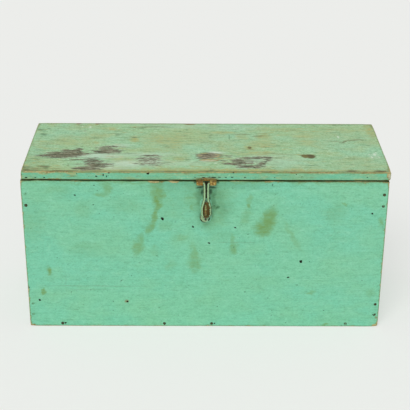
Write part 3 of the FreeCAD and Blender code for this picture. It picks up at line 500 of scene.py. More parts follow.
front_rubs = [(HALF_LONG, 0, 10, 3.0), (-HALF_LONG, 0, 8, 2.4), (HALF_LONG, RIM, 9, 2.2),
              (-HALF_LONG, RIM, 7, 1.6), (HALF_LONG, 150, 60, 0.4), (-HALF_LONG, 60, 40, 0.4),
              (-96, RIM, 9, 1.8), (-58, RIM, 8, 1.5), (300, RIM, 60, 0.5), (-305, 0, 44, 0.7),
              (-180, 0, 60, 0.4), (40, 0, 90, 0.3), (280, 0, 50, 0.5), (90, RIM, 60, 0.2)]
board("front_board", "carcass", front_paint, pine_long, [(1, -1), (2, 0)],
      [(x, -HALF_DEEP, z, reach, depth) for x, z, reach, depth in front_rubs])
board("back_board", "carcass", back_paint, pine_long, [(1, 0), (2, 0)],
      [(x, HALF_DEEP, z, 14, 3.5) for x in (-HALF_LONG, HALF_LONG) for z in (0, RIM)],
      mortises=[(low[0], high[0], low[1], RIM - LEAF)
                for low, high in (box("hinge_left_fixed_leaf"), box("hinge_right_fixed_leaf"))])
board("end_left", "carcass", end_paint, pine_cross, [(0, -1), (2, 0)])
board("end_right", "carcass", end_paint, pine_cross, [(0, 0), (2, 0)])
board("bottom_board", "carcass", pine_floor, pine_floor)


# ---------------------------------------------------------------------------------------- nails
# Iron nails with flat heads about 6 mm across, driven up each corner and along the foot, painted
# over and since gone rusty.  Their heads stand a hair proud of the boards.
def old_iron(name, tones, paint=None, cover=0.5, metal=0.5, size=3.0, seed=0.0, sides=0.0,
             marks=(), spots=()):
    """Wrought or drawn iron, rusted in patches a few millimetres across, with what is left of a coat of
    paint.  The attribute bared thins the paint on one head.  Seen from the front, marks are blots worn to
    the iron and spots are colours each with its blots; sides takes the paint off where a wire's surface
    faces sideways, as wear and as painted shade along the wire's edges."""
    material, tree, output = blank_material(name)
    place = add(tree, "VectorMath SCALE", {0: add(tree, "TexCoord", out="Object"), "Scale": 1000.0})
    place = add(tree, "VectorMath ADD", (place, (seed, seed, seed)))
    patch = figure(tree, place, (size, size, size), 4.0, 0.65)
    grit = figure(tree, place, (0.6, 0.6, 0.6), 2.0)
    broad = figure(tree, place, (size * 4, size * 4, size * 4), 2.0)
    rust = add(tree, "MapRange", (patch, 0.38, 0.62))
    pitted = add(tree, "MapRange", (grit, 0.5, 0.75, 0, 0.6))
    skin = laid(tree, tones[0], (tones[1], rust), (tones[2], pitted))
    shine = add(tree, "MapRange", (rust, 0, 1, metal, 0)) if metal else 0.0
    rough = add(tree, "MapRange", (rust, 0, 1, 0.5, 0.9))
    height = add(tree, "Math MULTIPLY_ADD", (patch, 0.5, grit))
    if marks or spots:
        push = figure(tree, place, (2.2, 2.2, 2.2), 4.0, 0.7, out=1)
        push = add(tree, "VectorMath SUBTRACT", (push, (0.5, 0.5, 0.5)))
        ragged = add(tree, "VectorMath MULTIPLY_ADD", (push, (3.2, 3.2, 0), board_place(tree, "XZY")))
    if paint:
        level = add(tree, "Math MULTIPLY", (broad, 0.35))
        level = add(tree, "Math MULTIPLY_ADD", (patch, 0.65, level))
        bared = add(tree, "Attribute", out="Fac", attribute_name="bared")
        level = add(tree, "Math MULTIPLY_ADD", (bared, -0.35, level))
        # Wear on a wire's sides, which also paints shade along its edges.
        if sides:
            _, across, _ = add(tree, "SeparateXYZ", (add(tree, "TexCoord", out="Normal"),), None)
            edge = add(tree, "Math ABSOLUTE", (across,))
            edge = add(tree, "MapRange", (edge, 0.9, 0.5, 0, sides))
            level = add(tree, "Math SUBTRACT", (level, edge))
        if marks:
            level = add(tree, "Math MULTIPLY_ADD", (blots(tree, ragged, marks, 0.3), -0.5, level))
        left = add(tree, "MapRange", (level, 0.62 - 0.42 * cover, 0.66 - 0.42 * cover))
        skin = laid(tree, skin, (laid(tree, paint[0], (paint[1], grit)), left))
        if metal:
            gone = add(tree, "Math SUBTRACT", (1.0, left))
            shine = add(tree, "Math MULTIPLY", (shine, gone))
        height = add(tree, "Math MULTIPLY_ADD", (left, 0.6, height))
    skin = laid(tree, skin, *((tone, blots(tree, ragged, places, 0.3)) for tone, places in spots))
    bump = add(tree, "Bump", {"Height": height, "Distance": 0.00025, "Strength": 0.8})
    shader = add(tree, "BsdfPrincipled", {"Base Color": skin, "Metallic": shine, "Roughness": rough,
                                          "Normal": bump})
    tree.links.new(shader, output.inputs["Surface"])
    return material


def grow(name, tree, points, body, node, slot, sizes, chain=False, **attributes):
    """Run a geometry tree on seed points and keep what it makes as one plain mesh on one body."""
    mesh = bpy.data.meshes.new(name)
    links = [(i, i + 1) for i in range(len(points) - 1)] if chain else []
    mesh.from_pydata([tuple(c / 1000 for c in p) for p in points], links, [])
    for key, values in attributes.items():
        vector = isinstance(values[0], tuple)
        layer = mesh.attributes.new(key, "FLOAT_VECTOR" if vector else "FLOAT", "POINT")
        layer.data.foreach_set("vector" if vector else "value", np.array(values, np.float32).ravel())
    seed = bpy.data.objects.new(name, mesh)
    bpy.context.scene.collection.objects.link(seed)
    modifier = seed.modifiers.new("grow", "NODES")
    modifier.node_group = tree
    for item in tree.interface.items_tree:
        if item.in_out == "INPUT" and item.name in sizes:
            modifier[item.identifier] = sizes[item.name]
    bpy.context.view_layer.update()
    made = bpy.data.meshes.new_from_object(seed.evaluated_get(bpy.context.evaluated_depsgraph_get()))
    seed.modifiers.remove(modifier)
    seed.data = made
    made.name = name
    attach(seed, body)
    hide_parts(node)


def geometry_tree(name, **inputs):
    """A geometry tree with named inputs and their kinds, what those inputs give, and its output node."""
    tree = bpy.data.node_groups.new(name, "GeometryNodeTree")
    tree.interface.new_socket("Geometry", in_out="INPUT", socket_type="NodeSocketGeometry")
    for key, kind in inputs.items():
        tree.interface.new_socket(key.replace("_", " "), in_out="INPUT", socket_type="NodeSocket" + kind)
    tree.interface.new_socket("Geometry", in_out="OUTPUT", socket_type="NodeSocketGeometry")
    return tree, tree.nodes.new("NodeGroupInput").outputs, tree.nodes.new("NodeGroupOutput")


def stand_on(tree, given, head, seed):
    """Instances of a head on the seed points, each facing its own way out and turned at random, made real."""
    out = add(tree, "GeometryNodeInputNamedAttribute", {"Name": "out"}, data_type="FLOAT_VECTOR")
    facing = add(tree, "FunctionNodeAlignRotationToVector", {"Vector": out}, axis="Z")
    turn = add(tree, "FunctionNodeRandomValue", {2: 0.0, 3: 6.283, "Seed": seed}, 1, data_type="FLOAT")
    spin = add(tree, "FunctionNodeAxisAngleToRotation", {"Axis": (0, 0, 1), "Angle": turn})
    facing = add(tree, "FunctionNodeRotateRotation", (facing, spin), rotation_space="LOCAL")
    large = add(tree, "FunctionNodeRandomValue", {2: 0.92, 3: 1.06, "Seed": seed + 1}, 1, data_type="FLOAT")
    whole = add(tree, "GeometryNodeInstanceOnPoints", {"Points": given["Geometry"], "Instance": head,
                                                       "Rotation": facing, "Scale": large})
    whole = add(tree, "GeometryNodeRealizeInstances", {"Geometry": whole})
    return add(tree, "GeometryNodeSetMaterial", {"Geometry": whole, "Material": given["Finish"]})


def heads(name, tree, finish, size, stations, ways, body, node, slot, **attributes):
    """Heads of nails or screws in place of a CAD node, each on its station and facing its own way.  size
    is a head's width and how far it rises."""
    sizes = {"Head Width": size[0] / 1000, "Head Rise": size[1] / 1000, "Finish": finish}
    grow(name, tree, stations, body, node, slot, sizes, out=ways, **attributes)


# Nail head: a flattened sphere, its top hammered flat.
nail_tree, given, ending = geometry_tree("nail_heads", Head_Width="Float", Head_Rise="Float",
                                         Finish="Material")
ball = add(nail_tree, "GeometryNodeMeshUVSphere", {"Segments": 20, "Rings": 10, "Radius": 1.0})
half = add(nail_tree, "Math MULTIPLY", (given["Head Width"], 0.5))
high = add(nail_tree, "Math MULTIPLY", (given["Head Rise"], 1.7))
size = add(nail_tree, "CombineXYZ", (half, half, high))
ball = add(nail_tree, "GeometryNodeTransform", {"Geometry": ball, "Scale": size})
x, y, z = add(nail_tree, "SeparateXYZ", (add(nail_tree, "GeometryNodeInputPosition"),), None)
flat = add(nail_tree, "CombineXYZ", (x, y, add(nail_tree, "Math MINIMUM", (z, given["Head Rise"]))))
ball = add(nail_tree, "GeometryNodeSetPosition", {"Geometry": ball, "Position": flat})
ball = add(nail_tree, "GeometryNodeSetShadeSmooth", {"Geometry": ball, "Shade Smooth": True})
nail_tree.links.new(stand_on(nail_tree, given, ball, 3), ending.inputs["Geometry"])

nail_iron = old_iron("rusty_nail_iron", ("#28301a", "#4a4c28", "#1a210f"), ("#78bf95", "#64a47c"), cover=0.62,
                     metal=0.3, size=2.2)
NAIL_HEAD, BRAD_HEAD = (6.2, 0.4), (2.6, 0.2)
column, foot = (28, 52, RIM - 52, RIM - 28), (-285, -80, 15, 285)
edge = HALF_LONG - BOARD / 2
bared = {"front": [0.1, 0.2, 1.0, 0.15, 0.45, 0.8, 0.55, 0.9, 0.8, 0.5, 1.0, 0.6], "back": [0.5, 0.9] * 6}
for wall, side in (("front", -1), ("back", 1)):
    stations = [(x, side * HALF_DEEP, z) for x in (-edge, edge) for z in column]
    stations += [(x, side * HALF_DEEP, BOTTOM / 2) for x in foot]
    heads(f"{wall}_nails_heads", nail_tree, nail_iron, NAIL_HEAD, stations, [(0, side, 0)] * len(stations),
          "carcass", f"{wall}_nails", "nail_iron", bared=bared[wall])
stations = [(side * HALF_LONG, y, BOTTOM / 2) for side in (-1, 1) for y in (-62, 0, 62)]
ways = [(side, 0, 0) for side in (-1, 1) for _ in range(3)]
heads("end_nails_heads", nail_tree, nail_iron, NAIL_HEAD, stations, ways, "carcass", "end_nails", "nail_iron")

# --------------------------------------------------------------------------------- butt hinges
# Two steel butt hinges at the back, three knuckles each, the fixed leaf let in flush with the rim
# and the moving leaf screwed under the lid.  Brushed over with the chest, and rusty at the pins.
hinge_steel = old_iron("painted_over_hinge_steel", ("#5b4a35", "#7b5531", "#33271a"), ("#79b791", "#64a27a"),
                       cover=0.55, size=5.0, seed=30)
pin_steel = old_iron("worn_pin_steel", ("#77706a", "#6b4a2c", "#3a3029"), size=4.0, metal=0.8, seed=60)
for side in ("left", "right"):
    for node, finish in (("fixed_leaf", hinge_steel), ("moving_leaf", hinge_steel), ("pin", pin_steel)):
        for place in frame["nodes"][f"hinge_{side}_{node}"].material_slots:
            place.material = finish

# Screw head: a disc 1.1 mm thick, with a slot sawn across it.
screw_tree, given, ending = geometry_tree("screw_heads", Head_Width="Float", Head_Rise="Float",
                                          Finish="Material")
half = add(screw_tree, "Math MULTIPLY", (given["Head Width"], 0.5))
disc = add(screw_tree, "GeometryNodeMeshCylinder", {"Vertices": 28, "Radius": half, "Depth": 0.0011})
sunk = add(screw_tree, "CombineXYZ", (0, 0, add(screw_tree, "Math SUBTRACT", (given["Head Rise"], 0.00055))))
disc = add(screw_tree, "GeometryNodeTransform", {"Geometry": disc, "Translation": sunk})
cut = add(screw_tree, "CombineXYZ", (add(screw_tree, "Math MULTIPLY", (half, 2.2)), 0.0009, 0.0012))
slot = add(screw_tree, "GeometryNodeMeshCube", {"Size": cut})
top = add(screw_tree, "CombineXYZ", (0, 0, given["Head Rise"]))
slot = add(screw_tree, "GeometryNodeTransform", {"Geometry": slot, "Translation": top})
disc = add(screw_tree, "GeometryNodeMeshBoolean DIFFERENCE", {"Mesh 1": disc, "Mesh 2": slot})
screw_tree.links.new(stand_on(screw_tree, given, disc, 11), ending.inputs["Geometry"])

screw_steel = old_iron("slotted_screw_steel", ("#58564a", "#6a5230", "#2a261c"), ("#6fae88", "#5d9a72"),
                       cover=0.25, size=2.5, metal=0.7, seed=80)


def screw_heads(node, body, way, size=(5.6, 0.1)):
    """Heads for the screws of a CAD node, which stand in the corners of its box and face the given way."""
    cad_radius = 2.7
    places = [[high if out > 0 else low] if out else
              sorted({round(low + cad_radius, 3), round(high - cad_radius, 3)})
              for low, high, out in zip(*box(node), way)]
    stations = list(itertools.product(*places))
    heads(node[:-1] + "_heads", screw_tree, screw_steel, size, stations, [way] * len(stations), body, node,
          "screw_steel")


for side in ("left", "right"):
    screw_heads(f"hinge_{side}_fixed_screws", "carcass", (0, 0, 1), (5.6, 0.12))
    screw_heads(f"hinge_{side}_moving_screws", "lid", (0, 0, -1), (5.6, 0.12))

# -------------------------------------------------------------------------------------- staple
# A wire staple driven through a round-cornered iron plate into the front board.  Plate and wire were
# painted with the chest; the paint has chipped off down to brown rust where the hasp rubs.
wire_tree, given, ending = geometry_tree("bent_wire", Diameter="Float", Bend_Steps="Int", Finish="Material")
line = add(wire_tree, "GeometryNodeMeshToCurve", {"Mesh": given["Geometry"]})
bend = add(wire_tree, "GeometryNodeInputNamedAttribute", {"Name": "bend"}, data_type="FLOAT")
line = add(wire_tree, "GeometryNodeFilletCurve", {"Curve": line, "Count": given["Bend Steps"],
                                                  "Radius": bend}, mode="POLY")
half = add(wire_tree, "Math MULTIPLY", (given["Diameter"], 0.5))
round_ = add(wire_tree, "GeometryNodeCurvePrimitiveCircle", {"Resolution": 20, "Radius": half}, mode="RADIUS")
bar = add(wire_tree, "GeometryNodeCurveToMesh", {"Curve": line, "Profile Curve": round_, "Fill Caps": True})
bar = add(wire_tree, "GeometryNodeSetShadeSmooth", {"Geometry": bar, "Shade Smooth": True})
bar = add(wire_tree, "GeometryNodeSetMaterial", {"Geometry": bar, "Material": given["Finish"]})
bar = add(wire_tree, "GeometryNodeRealizeInstances", {"Geometry": bar})
wire_tree.links.new(bar, ending.inputs["Geometry"])


def bent_wire(node, body, slot, finish, diameter, corners, bends):
    """Round wire bent in one plane, in place of a CAD node: its corners and the radius of each bend."""
    grow(node + "_wire", wire_tree, corners, body, node, slot, chain=True,
         bend=[0.0] + [bend / 1000 for bend in bends] + [0.0],
         sizes={"Diameter": diameter / 1000, "Bend Steps": 8, "Finish": finish})


def lofted(*bodies):
    """Points and faces of closed bodies, each given as rings of points from one end to the other."""
    points, faces = [], []
    for rings in bodies:
        first, n = len(points), len(rings[0])
        points += [point for ring in rings for point in ring]
        for low in range(first, len(points) - n, n):
            faces += [(low + i, low + (i + 1) % n, low + n + (i + 1) % n, low + n + i) for i in range(n)]
        faces += [tuple(range(first, first + n))[::-1], tuple(range(len(points) - n, len(points)))]
    return points, faces


def iron_plate(name, centre, size, thick, corner, ease, turned, finish, wobble=0.25):
    """A flat plate with round corners and filed edges.  turned holds its own X, Y and outward directions."""
    corners = []
    for quarter, (sx, sy) in enumerate(((1, 1), (-1, 1), (-1, -1), (1, -1))):
        for i in range(9):
            a = math.radians(90 * quarter + 90 * i / 8)
            corners.append((sx * (size[0] / 2 - corner) + corner * math.cos(a),
                            sy * (size[1] / 2 - corner) + corner * math.sin(a)))
    outline = []
    for (x, y), (nx, ny) in zip(corners, corners[1:] + corners[:1]):
        count = max(1, round(math.hypot(nx - x, ny - y) / 2.5))
        outline += [(x + (nx - x) * j / count, y + (ny - y) * j / count) for j in range(count)]
    right, up, out = (Vector(axis) for axis in turned)
    rings = []
    for rise, inset in ((0, 0), (thick - ease, 0), (thick - 0.3 * ease, 0.3 * ease), (thick, ease),
                        (thick, ease + 1.5)):
        worn = [inset + wobble * (0.5 + noise.noise(Vector((x / 4, y / 4, 3.1)))) for x, y in outline]
        level = Vector(centre) + out * rise
        rings.append([level + right * x * (1 - 2 * w / size[0]) + up * y * (1 - 2 * w / size[1])
                      for (x, y), w in zip(outline, worn)])
    points, faces = lofted(rings)
    if right.cross(up).dot(out) < 0:
        faces = [face[::-1] for face in faces]
    return plain_mesh(name, points, faces, [finish])


# The loop keeps pale paint on the front of its wire and goes dark along its sides: wear, and painted shade at
# the wire's edges.
hasp_iron = old_iron("chipped_paint_on_hasp_iron", ("#473f16", "#6b5a24", "#25200b"), ("#a6cb9b", "#82ad7d"),
                     cover=0.64, size=3.4, metal=0.2, seed=5, sides=0.3, marks=[(2.6, 260, 6.2, 15.5, 1.0)])
staple_iron = old_iron("rusty_staple_iron", ("#6a541c", "#7e6026", "#3a2c0f"), ("#8a9a66", "#7a8f58"),
                       cover=0.25, size=3.0, metal=0.2, seed=25)
plate_iron = old_iron(
    "chipped_paint_on_staple_plate", ("#5c4b18", "#755c24", "#2f260c"), ("#7cc39d", "#6cb089"), cover=0.8,
    size=4.0, metal=0.1, seed=12, marks=[(3.0, 262, 7.4, 15, 1.0)],
    # The pale spot is chipped paint on the plate's lower lobe; the near-black spots round it are black marks,
    # and painted shadow along the lobe's lower edge.
    spots=[("#94ae80", [(-2.5, 242, 9.5, 8.5, 0.9, 25)]),
           ("#182a0e", [(-7.8, 237.8, 2.8, 5.0, 1.0, 35), (-9, 248, 1.2, 7, 0.8), (1.3, 241, 2.1, 2.1, 1.0),
                        (-3, 234.8, 8, 1.8, 1.0, -12), (8.4, 241, 1.5, 4.4, 1.0, -25)])])
STAPLE_WIRE, STAPLE_BEND = 3.8, 8.37
low, high = box("staple")
x, bow = middle("staple")[0], low[1] + STAPLE_WIRE / 2
upper, lower = high[2] - STAPLE_WIRE / 2, low[2] + STAPLE_WIRE / 2
bent_wire("staple", "carcass", "hasp_iron", staple_iron, STAPLE_WIRE,
          [(x, high[1], upper), (x, bow, upper), (x, bow, lower), (x, high[1], lower)], [STAPLE_BEND] * 2)
low, high = box("staple_plate")
x, _, z = middle("staple_plate")
wide, thick, tall = (b - a for a, b in zip(low, high))
plate = iron_plate("staple_plate_iron", (x, high[1], z), (wide, tall), thick, corner=9.0, ease=0.5,
                   turned=((1, 0, 0), (0, 0, 1), (0, -1, 0)), finish=plate_iron, wobble=0.5)
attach(plate, "carcass")
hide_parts("staple_plate")
screw_heads("staple_screws", "carcass", (0, -1, 0))

# --------------------------------------------------------------------------------- till runners
# Two unpainted pine strips, bradded across the insides of the ends about two thirds of the way up, for
# the till to slide on.
for side, shift in (("left", 130), ("right", 260)):
    strip = bare_pine(f"aged_bare_pine_runner_{side}", "YZX", darkening=0.65, seed=shift)
    board(f"runner_{side}", "carcass", strip, strip, ease=0.7)
brad_iron = old_iron("brad_iron", ("#4a3c2d", "#6e4a2a", "#241c13"), size=1.5, seed=22)
inside_x, _, _ = box("runner_right")[0]
stations = [(side * inside_x, y, middle("runner_right")[2]) for side in (-1, 1) for y in (-80, 0, 80)]
ways = [(-side, 0, 0) for side in (-1, 1) for _ in range(3)]
heads("runner_brad_heads", nail_tree, brad_iron, BRAD_HEAD, stations, ways, "carcass", "runner_nails",
      "nail_iron")

# -------------------------------------------------------------------------------------- handles
# On each end a cast-iron plate held by four screws, with two lugs that a round bail turns in.  The
# black has rusted brown and keeps a little green paint; hands have rubbed the bail nearly bare.
handle_iron = old_iron("rusty_black_handle_iron", ("#2f2a26", "#6a4427", "#1d1815"), ("#5d9273", "#4f8163"),
                       cover=0.12, size=6.0, metal=0.35, seed=41)
bail_iron = old_iron("handled_bail_iron", ("#4a423b", "#6b4529", "#26201b"), size=7.0, metal=0.7, seed=47)
LUG, LUG_FOOT, LUG_MIDDLE, BAIL, BAIL_END = 6.2, 7.0, 33, 7.0, 26
LUG_RINGS = [(along, 1 - inset / LUG) for along, inset in
             ((-6, 1.0), (-5.7, 0.35), (-4.9, 0), (4.9, 0), (5.7, 0.35), (6, 1.0))]


def pivot(joint_name):
    """Where a joint of the frame turns, in millimetres."""
    return [1000 * c for joint in frame["joints"] if joint["name"] == joint_name for c in joint["pos_m"]]


for side, sign in (("left", -1), ("right", 1)):
    pivot_x, _, pivot_z = pivot(f"handle_{side}_swing")
    low, high = box(f"handle_{side}_plate")
    plate = iron_plate(f"handle_{side}_plate_iron", (sign * HALF_LONG, 0, pivot_z),
                       (high[1] - low[1], high[2] - low[2]), thick=2.2, corner=5.0, ease=0.7,
                       turned=((0, 1, 0), (0, 0, 1), (sign, 0, 0)), finish=handle_iron)
    outline = [(LUG * math.cos(a), LUG * math.sin(a)) for a in np.radians(np.linspace(-90, 90, 17))]
    outline += [(-LUG_FOOT, LUG), (-LUG_FOOT, -LUG)]
    points, faces = lofted(*(
        [[(pivot_x + sign * x * share, lug + along, pivot_z + z * share) for x, z in outline]
         for along, share in LUG_RINGS] for lug in (-LUG_MIDDLE, LUG_MIDDLE)))
    if sign > 0:
        faces = [face[::-1] for face in faces]
    lugs = plain_mesh("lugs", points, faces, [handle_iron])
    with bpy.context.temp_override(active_object=plate, selected_editable_objects=[plate, lugs]):
        bpy.ops.object.join()
    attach(plate, "carcass")
    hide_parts(f"handle_{side}_plate")
    screw_heads(f"handle_{side}_screws", "carcass", (sign, 0, 0), (5.8, 0.2))
    low, high = box(f"handle_{side}_bail")
    hang, reach = low[2] + BAIL / 2, high[1] - BAIL / 2
    half_bail = [(BAIL_END, pivot_z), (reach, pivot_z), (reach, hang)]
    corners = [(-y, z) for y, z in half_bail] + half_bail[::-1]
    bent_wire(f"handle_{side}_bail", f"{side}_handle", "handle_iron", bail_iron, BAIL,
              [(pivot_x, y, z) for y, z in corners], [7, 12, 12, 7])

# ------------------------------------------------------------------------------------------ lid
# One wide pine board.  Its top has had the most use: the paint is thin and yellowed along the grain,
# worn to dark old wood where hot or wet things stood, and rubbed to tan along the front arris.
# The top's tones are paler and yellower than the edges', partly worn paint and partly painted sheen.
lid_paint = painted_pine(
    "green_paint_on_lid", "XYZ", ("#97cca5", "#9dc795", "#aabd84", "#84b385", "#b4d8b1", "#729e6d"), seed=200,
    drift=0.7, streaks=0.6, contrast=0.95, hairs=0.95, worn=1.3, grimy=3.4, side=(338, "#69bd9a", "#77b488"),
    tan=[(-142, 38, 8, 15, 1.0), (-90, 35, 34, 30, 0.75), (-62, 20, 20, 54, 0.7), (-50, -60, 14, 12, 0.6),
         (-185, -53, 9, 8, 0.9), (-165, -66, 26, 14, 0.55), (-280, 30, 24, 30, 0.45), (-240, 40, 14, 20, 0.4),
         (-215, 60, 20, 16, 0.5), (-218, 20, 6, 6, 0.7), (38, 76, 30, 9, 0.7), (76, 55, 12, 12, 0.7),
         (118, 54, 13, 16, 0.75), (112, 15, 22, 16, 0.5), (150, 95, 42, 9, 0.55), (200, 60, 32, 12, 0.4),
         (292, 84, 20, 10, 0.55), (342, 90, 10, 44, 0.85), (220, 20, 30, 20, 0.4), (88, -8, 9, 11, 0.8),
         (100, -34, 42, 9, 0.6), (40, -8, 30, 20, 0.35), (-10, 40, 30, 30, 0.4), (-80, -20, 40, 12, 0.5),
         (0, -119, 350, 8, 0.95, 0, 339, 3), (-300, -112, 44, 12, 0.6), (270, 60, 90, 50, 0.3),
         (300, -90, 60, 30, 0.3), (-30, 70, 60, 30, 0.3)],
    pale=[(-205, -50, 44, 10, 0.9), (-150, -89, 34, 14, 1.0), (-118, -42, 60, 9, 0.55), (-170, 4, 24, 8, 0.6),
          (-60, -85, 52, 10, 0.5), (20, -31, 14, 7, 1.0), (12, -70, 13, 6, 1.0), (92, -77, 13, 4, 0.6),
          (-106, -74, 26, 24, 0.7), (110, -62, 24, 20, 0.4), (330, -44, 8, 12, 0.4), (-170, -108, 40, 8, 0.5),
          (150, -70, 40, 30, 0.3), (-60, 110, 60, 12, 0.3), (60, 105, 70, 12, 0.3)],
    patches=[(-286, -48, 36, 10, 1.0, 3), (-262, -38, 26, 19, 1.0), (-296, -38, 18, 9, 1.0),
             (-278, -53, 22, 7, 1.0), (-278, -20, 11, 6, 0.9), (-248, -22, 9, 12, 0.9),
             (-234, -38, 12, 3, 0.9), (-188, -26, 27, 14, 0.84), (-190, -8, 24, 11, 0.68),
             (-200, -32, 22, 9, 0.9), (-216, -26, 11, 5, 0.8), (-172, -4, 16, 4, 0.55),
             (-216, -75, 17, 13, 1.0), (-208, -95, 21, 16, 1.0), (-226, -111, 28, 9, 1.05),
             (-190, -96, 14, 14, 0.75), (-244, -68, 20, 2.6, 1.0), (-240, -92, 13, 2, 0.8),
             (-108, -48, 16, 4.5, 0.95), (-106, -64, 26, 17, 0.68), (-104, -85, 25, 15, 0.66),
             (9, -45, 26, 15, 0.7), (2, -58, 18, 7, 0.8), (42, -48, 16, 6, 0.65), (33, -72, 9, 5, 0.85),
             (45, -84, 11, 5, 0.75), (66, -78, 14, 17, 0.88), (84, -78, 14, 10, 0.66), (62, -92, 14, 9, 0.9),
             (80, -99, 24, 7, 0.9), (85, -59, 17, 6, 0.85), (110, -57, 17, 8, 0.8), (122, -64, 7, 11, 0.85),
             (108, -88, 11, 12, 0.85), (102, -104, 9, 6, 0.85)],
    knots=[(197, -48, 9, 8.5, 1.0), (207, -50, 9, 9, 1.0), (201, -43.5, 15, 4.5, 1.0), (89, -5, 4, 6, 0.85),
           (-262, -96, 3, 3, 0.5)],
    darkening=[(-138, 104, 16, 2, 0.7), (-100, 107, 30, 3, 0.4), (-336, 87, 9, 5, 0.8), (-327, 63, 7, 7, 0.75),
           (-322, 96, 4, 3, 0.7), (-37, 92, 3, 4, 0.5), (-145, 88, 3, 3, 0.5), (-178, 61, 4, 5, 0.5),
           (-309, -97, 10, 3, 0.7), (-300, -110, 5, 6, 0.7), (-340, -117, 6, 5, 0.7), (228, 120, 3, 3, 0.6),
           (270, 120, 4, 3, 0.6), (277, -119, 7, 4, 0.6), (332, -119, 9, 3, 0.6), (13, -113, 4, 4, 0.7),
           (-330, -60, 30, 60, 0.12), (12, 56, 3, 10, 0.3)],
    rust=[(2.5, -128, 20, 6, 1.0, 0, 324.5, 3.2), (-265, 121, 5, 3, 0.8), (-224, 121, 4, 3, 0.8),
          (-30, 121, 11, 3, 0.8)],
    pits=[(x, -HALF_DEEP, long, 6, strength, 0, z, tall) for x, z, long, tall, strength in (
        (-206, 330, 2, 1.3, 0.8), (-192, 333, 1.2, 2.6, 0.7), (-186, 330, 1, 2.2, 0.8),
        (-182, 337, 2, 1.2, 0.7), (-108, 336, 2.2, 2, 1), (-304, 327, 1.4, 1.1, 0.7),
        (-338, 327, 1.6, 1.2, 0.8), (-321, 327, 1.5, 1, 0.6), (-19, 328.6, 1.6, 0.8, 0.7),
        (-3, 328.4, 4, 0.8, 0.8), (8, 328.9, 3, 0.7, 0.7), (16, 328.5, 5, 0.9, 0.9), (27, 328.8, 3, 0.8, 0.8),
        (39, 328.5, 2, 0.8, 0.7), (51, 328.8, 2.2, 0.9, 0.9), (75, 328.5, 2.2, 0.8, 0.7),
        (53, 338, 2, 1, 0.7), (131, 328.5, 1.4, 0.8, 0.6), (172.8, 335, 1.2, 1, 0.7),
        (307, 329.7, 1.4, 0.9, 0.8))],
    cracks_and_shadows=[(50, 50, 1.2, 14, 0.4)],
    seams=[(256, 31, 12, 2.2, 0.5, -8), (272, 24, 6, 2.2, 0.5, 60), (281, 27, 9, 3, 0.9, 45),
           (302, 37, 19, 2.8, 0.75, 12), (-330, -120, 20, 3.4, 0.8), (-272, -124, 26, 3.2, 1),
           (-338, -106, 12, 3, 0.8), (-306, -104, 11, 3, 0.85), (-318, -113, 16, 2.4, 0.6),
           (-285, -112, 12, 2, 0.5), (-205, -124, 26, 2.6, 0.5), (-130, -125, 40, 2.2, 0.4),
           (-48, -125, 40, 2.8, 0.5), (8, -123, 18, 3.2, 0.85), (60, -124, 36, 2.6, 0.5),
           (118, -125, 14, 3.2, 0.9), (180, -126, 50, 2.2, 0.4), (250, -124, 24, 2.2, 0.4),
           (277, -121, 12, 4.6, 0.95), (300, -125, 24, 2.4, 0.5), (332, -121, 13, 4.2, 0.95),
           (76, 66, 16, 2.4, 0.6), (110, 58, 12, 2.8, 0.75, 10), (88, -14, 18, 2.2, 0.5, -15),
           (150, -38, 30, 2, 0.4, -8), (-262, 124, 6, 2.4, 0.9), (-224, 124, 5, 2.4, 0.9),
           (-30, 124, 12, 2.4, 0.9), (-120, 106, 30, 2.4, 0.5)],
    flecks=[(326, -52, 2, 5, 1), (333, -38, 2.4, 6, 1), (337, -30, 1.6, 3, 1), (340, -52, 1.4, 3, 0.9),
            (322, -38, 1.2, 3, 0.9), (349.5, -127.5, 3, 3, 0.5, 0, 331, 5), (272, 54, 2, 6, 1),
            (-237, 105, 2, 6, 1), (-254, 108, 1.4, 3, 0.8), (20, -31, 12, 3.4, 0.9), (2, -73, 12, 3, 0.7),
            (16, -70, 6, 2.4, 0.7), (20, -84, 3, 2.4, 0.8), (64, -60, 3, 3, 0.6), (-104, -72, 4, 2, 0.4),
            (-94, -62, 4, 2, 0.4), (-110, -84, 4, 2, 0.5), (-180, -108, 5, 2, 0.7)],
    chips=[(8, -70, 20, 7, 0.7), (8, -46, 26, 15, 0.6), (46, -86, 9, 4, 0.66), (30, -62, 7, 3, 0.6),
           (349, -127, 5, 5, 1.0, 0, 333, 7)])
low, high = box("lid_board")
front_rubs = ((-300, 46, 2.8), (-345, 12, 2.4), (high[0], 14, 4.0), (315, 26, 1.1), (230, 34, 0.9),
              (160, 30, 0.9), (100, 26, 0.8), (30, 30, 1.0), (-10, 16, 0.8), (-60, 36, 1.0), (-150, 26, 0.7))
back_rubs = ((high[0], 16, 2.4), (low[0], 10, 1.8), (-225, 8, 1.0), (-264, 8, 1.0), (-34, 12, 1.0))
lid_rubs = [(x, low[1], high[2], reach, depth) for x, reach, depth in front_rubs]
lid_rubs += [(x, high[1], high[2], reach, depth) for x, reach, depth in back_rubs]
lid_rubs += [(high[0], low[1], low[2], 8, 1.8), (-195, low[1], high[2] - 3, 12, 0.8),
             (high[0], 0, high[2], 90, 0.3)]
lid_under = bare_pine("aged_bare_pine_under_lid", "XYZ", seed=150)
board("lid_board", "lid", lid_paint, lid_under, [(2, 0)], lid_rubs, ease=1.0)

# Battens: two cleats screwed up into the lid to keep it flat.
for side in ("left", "right"):
    cleat = bare_pine(f"aged_bare_pine_batten_{side}", "YXZ", darkening=0.55, seed=320 if side == "left" else 380)
    board(f"lid_batten_{side}", "lid", cleat, cleat, ease=1.1)
screw_heads("batten_screws", "lid", (0, 0, -1), (6.2, 0.2))

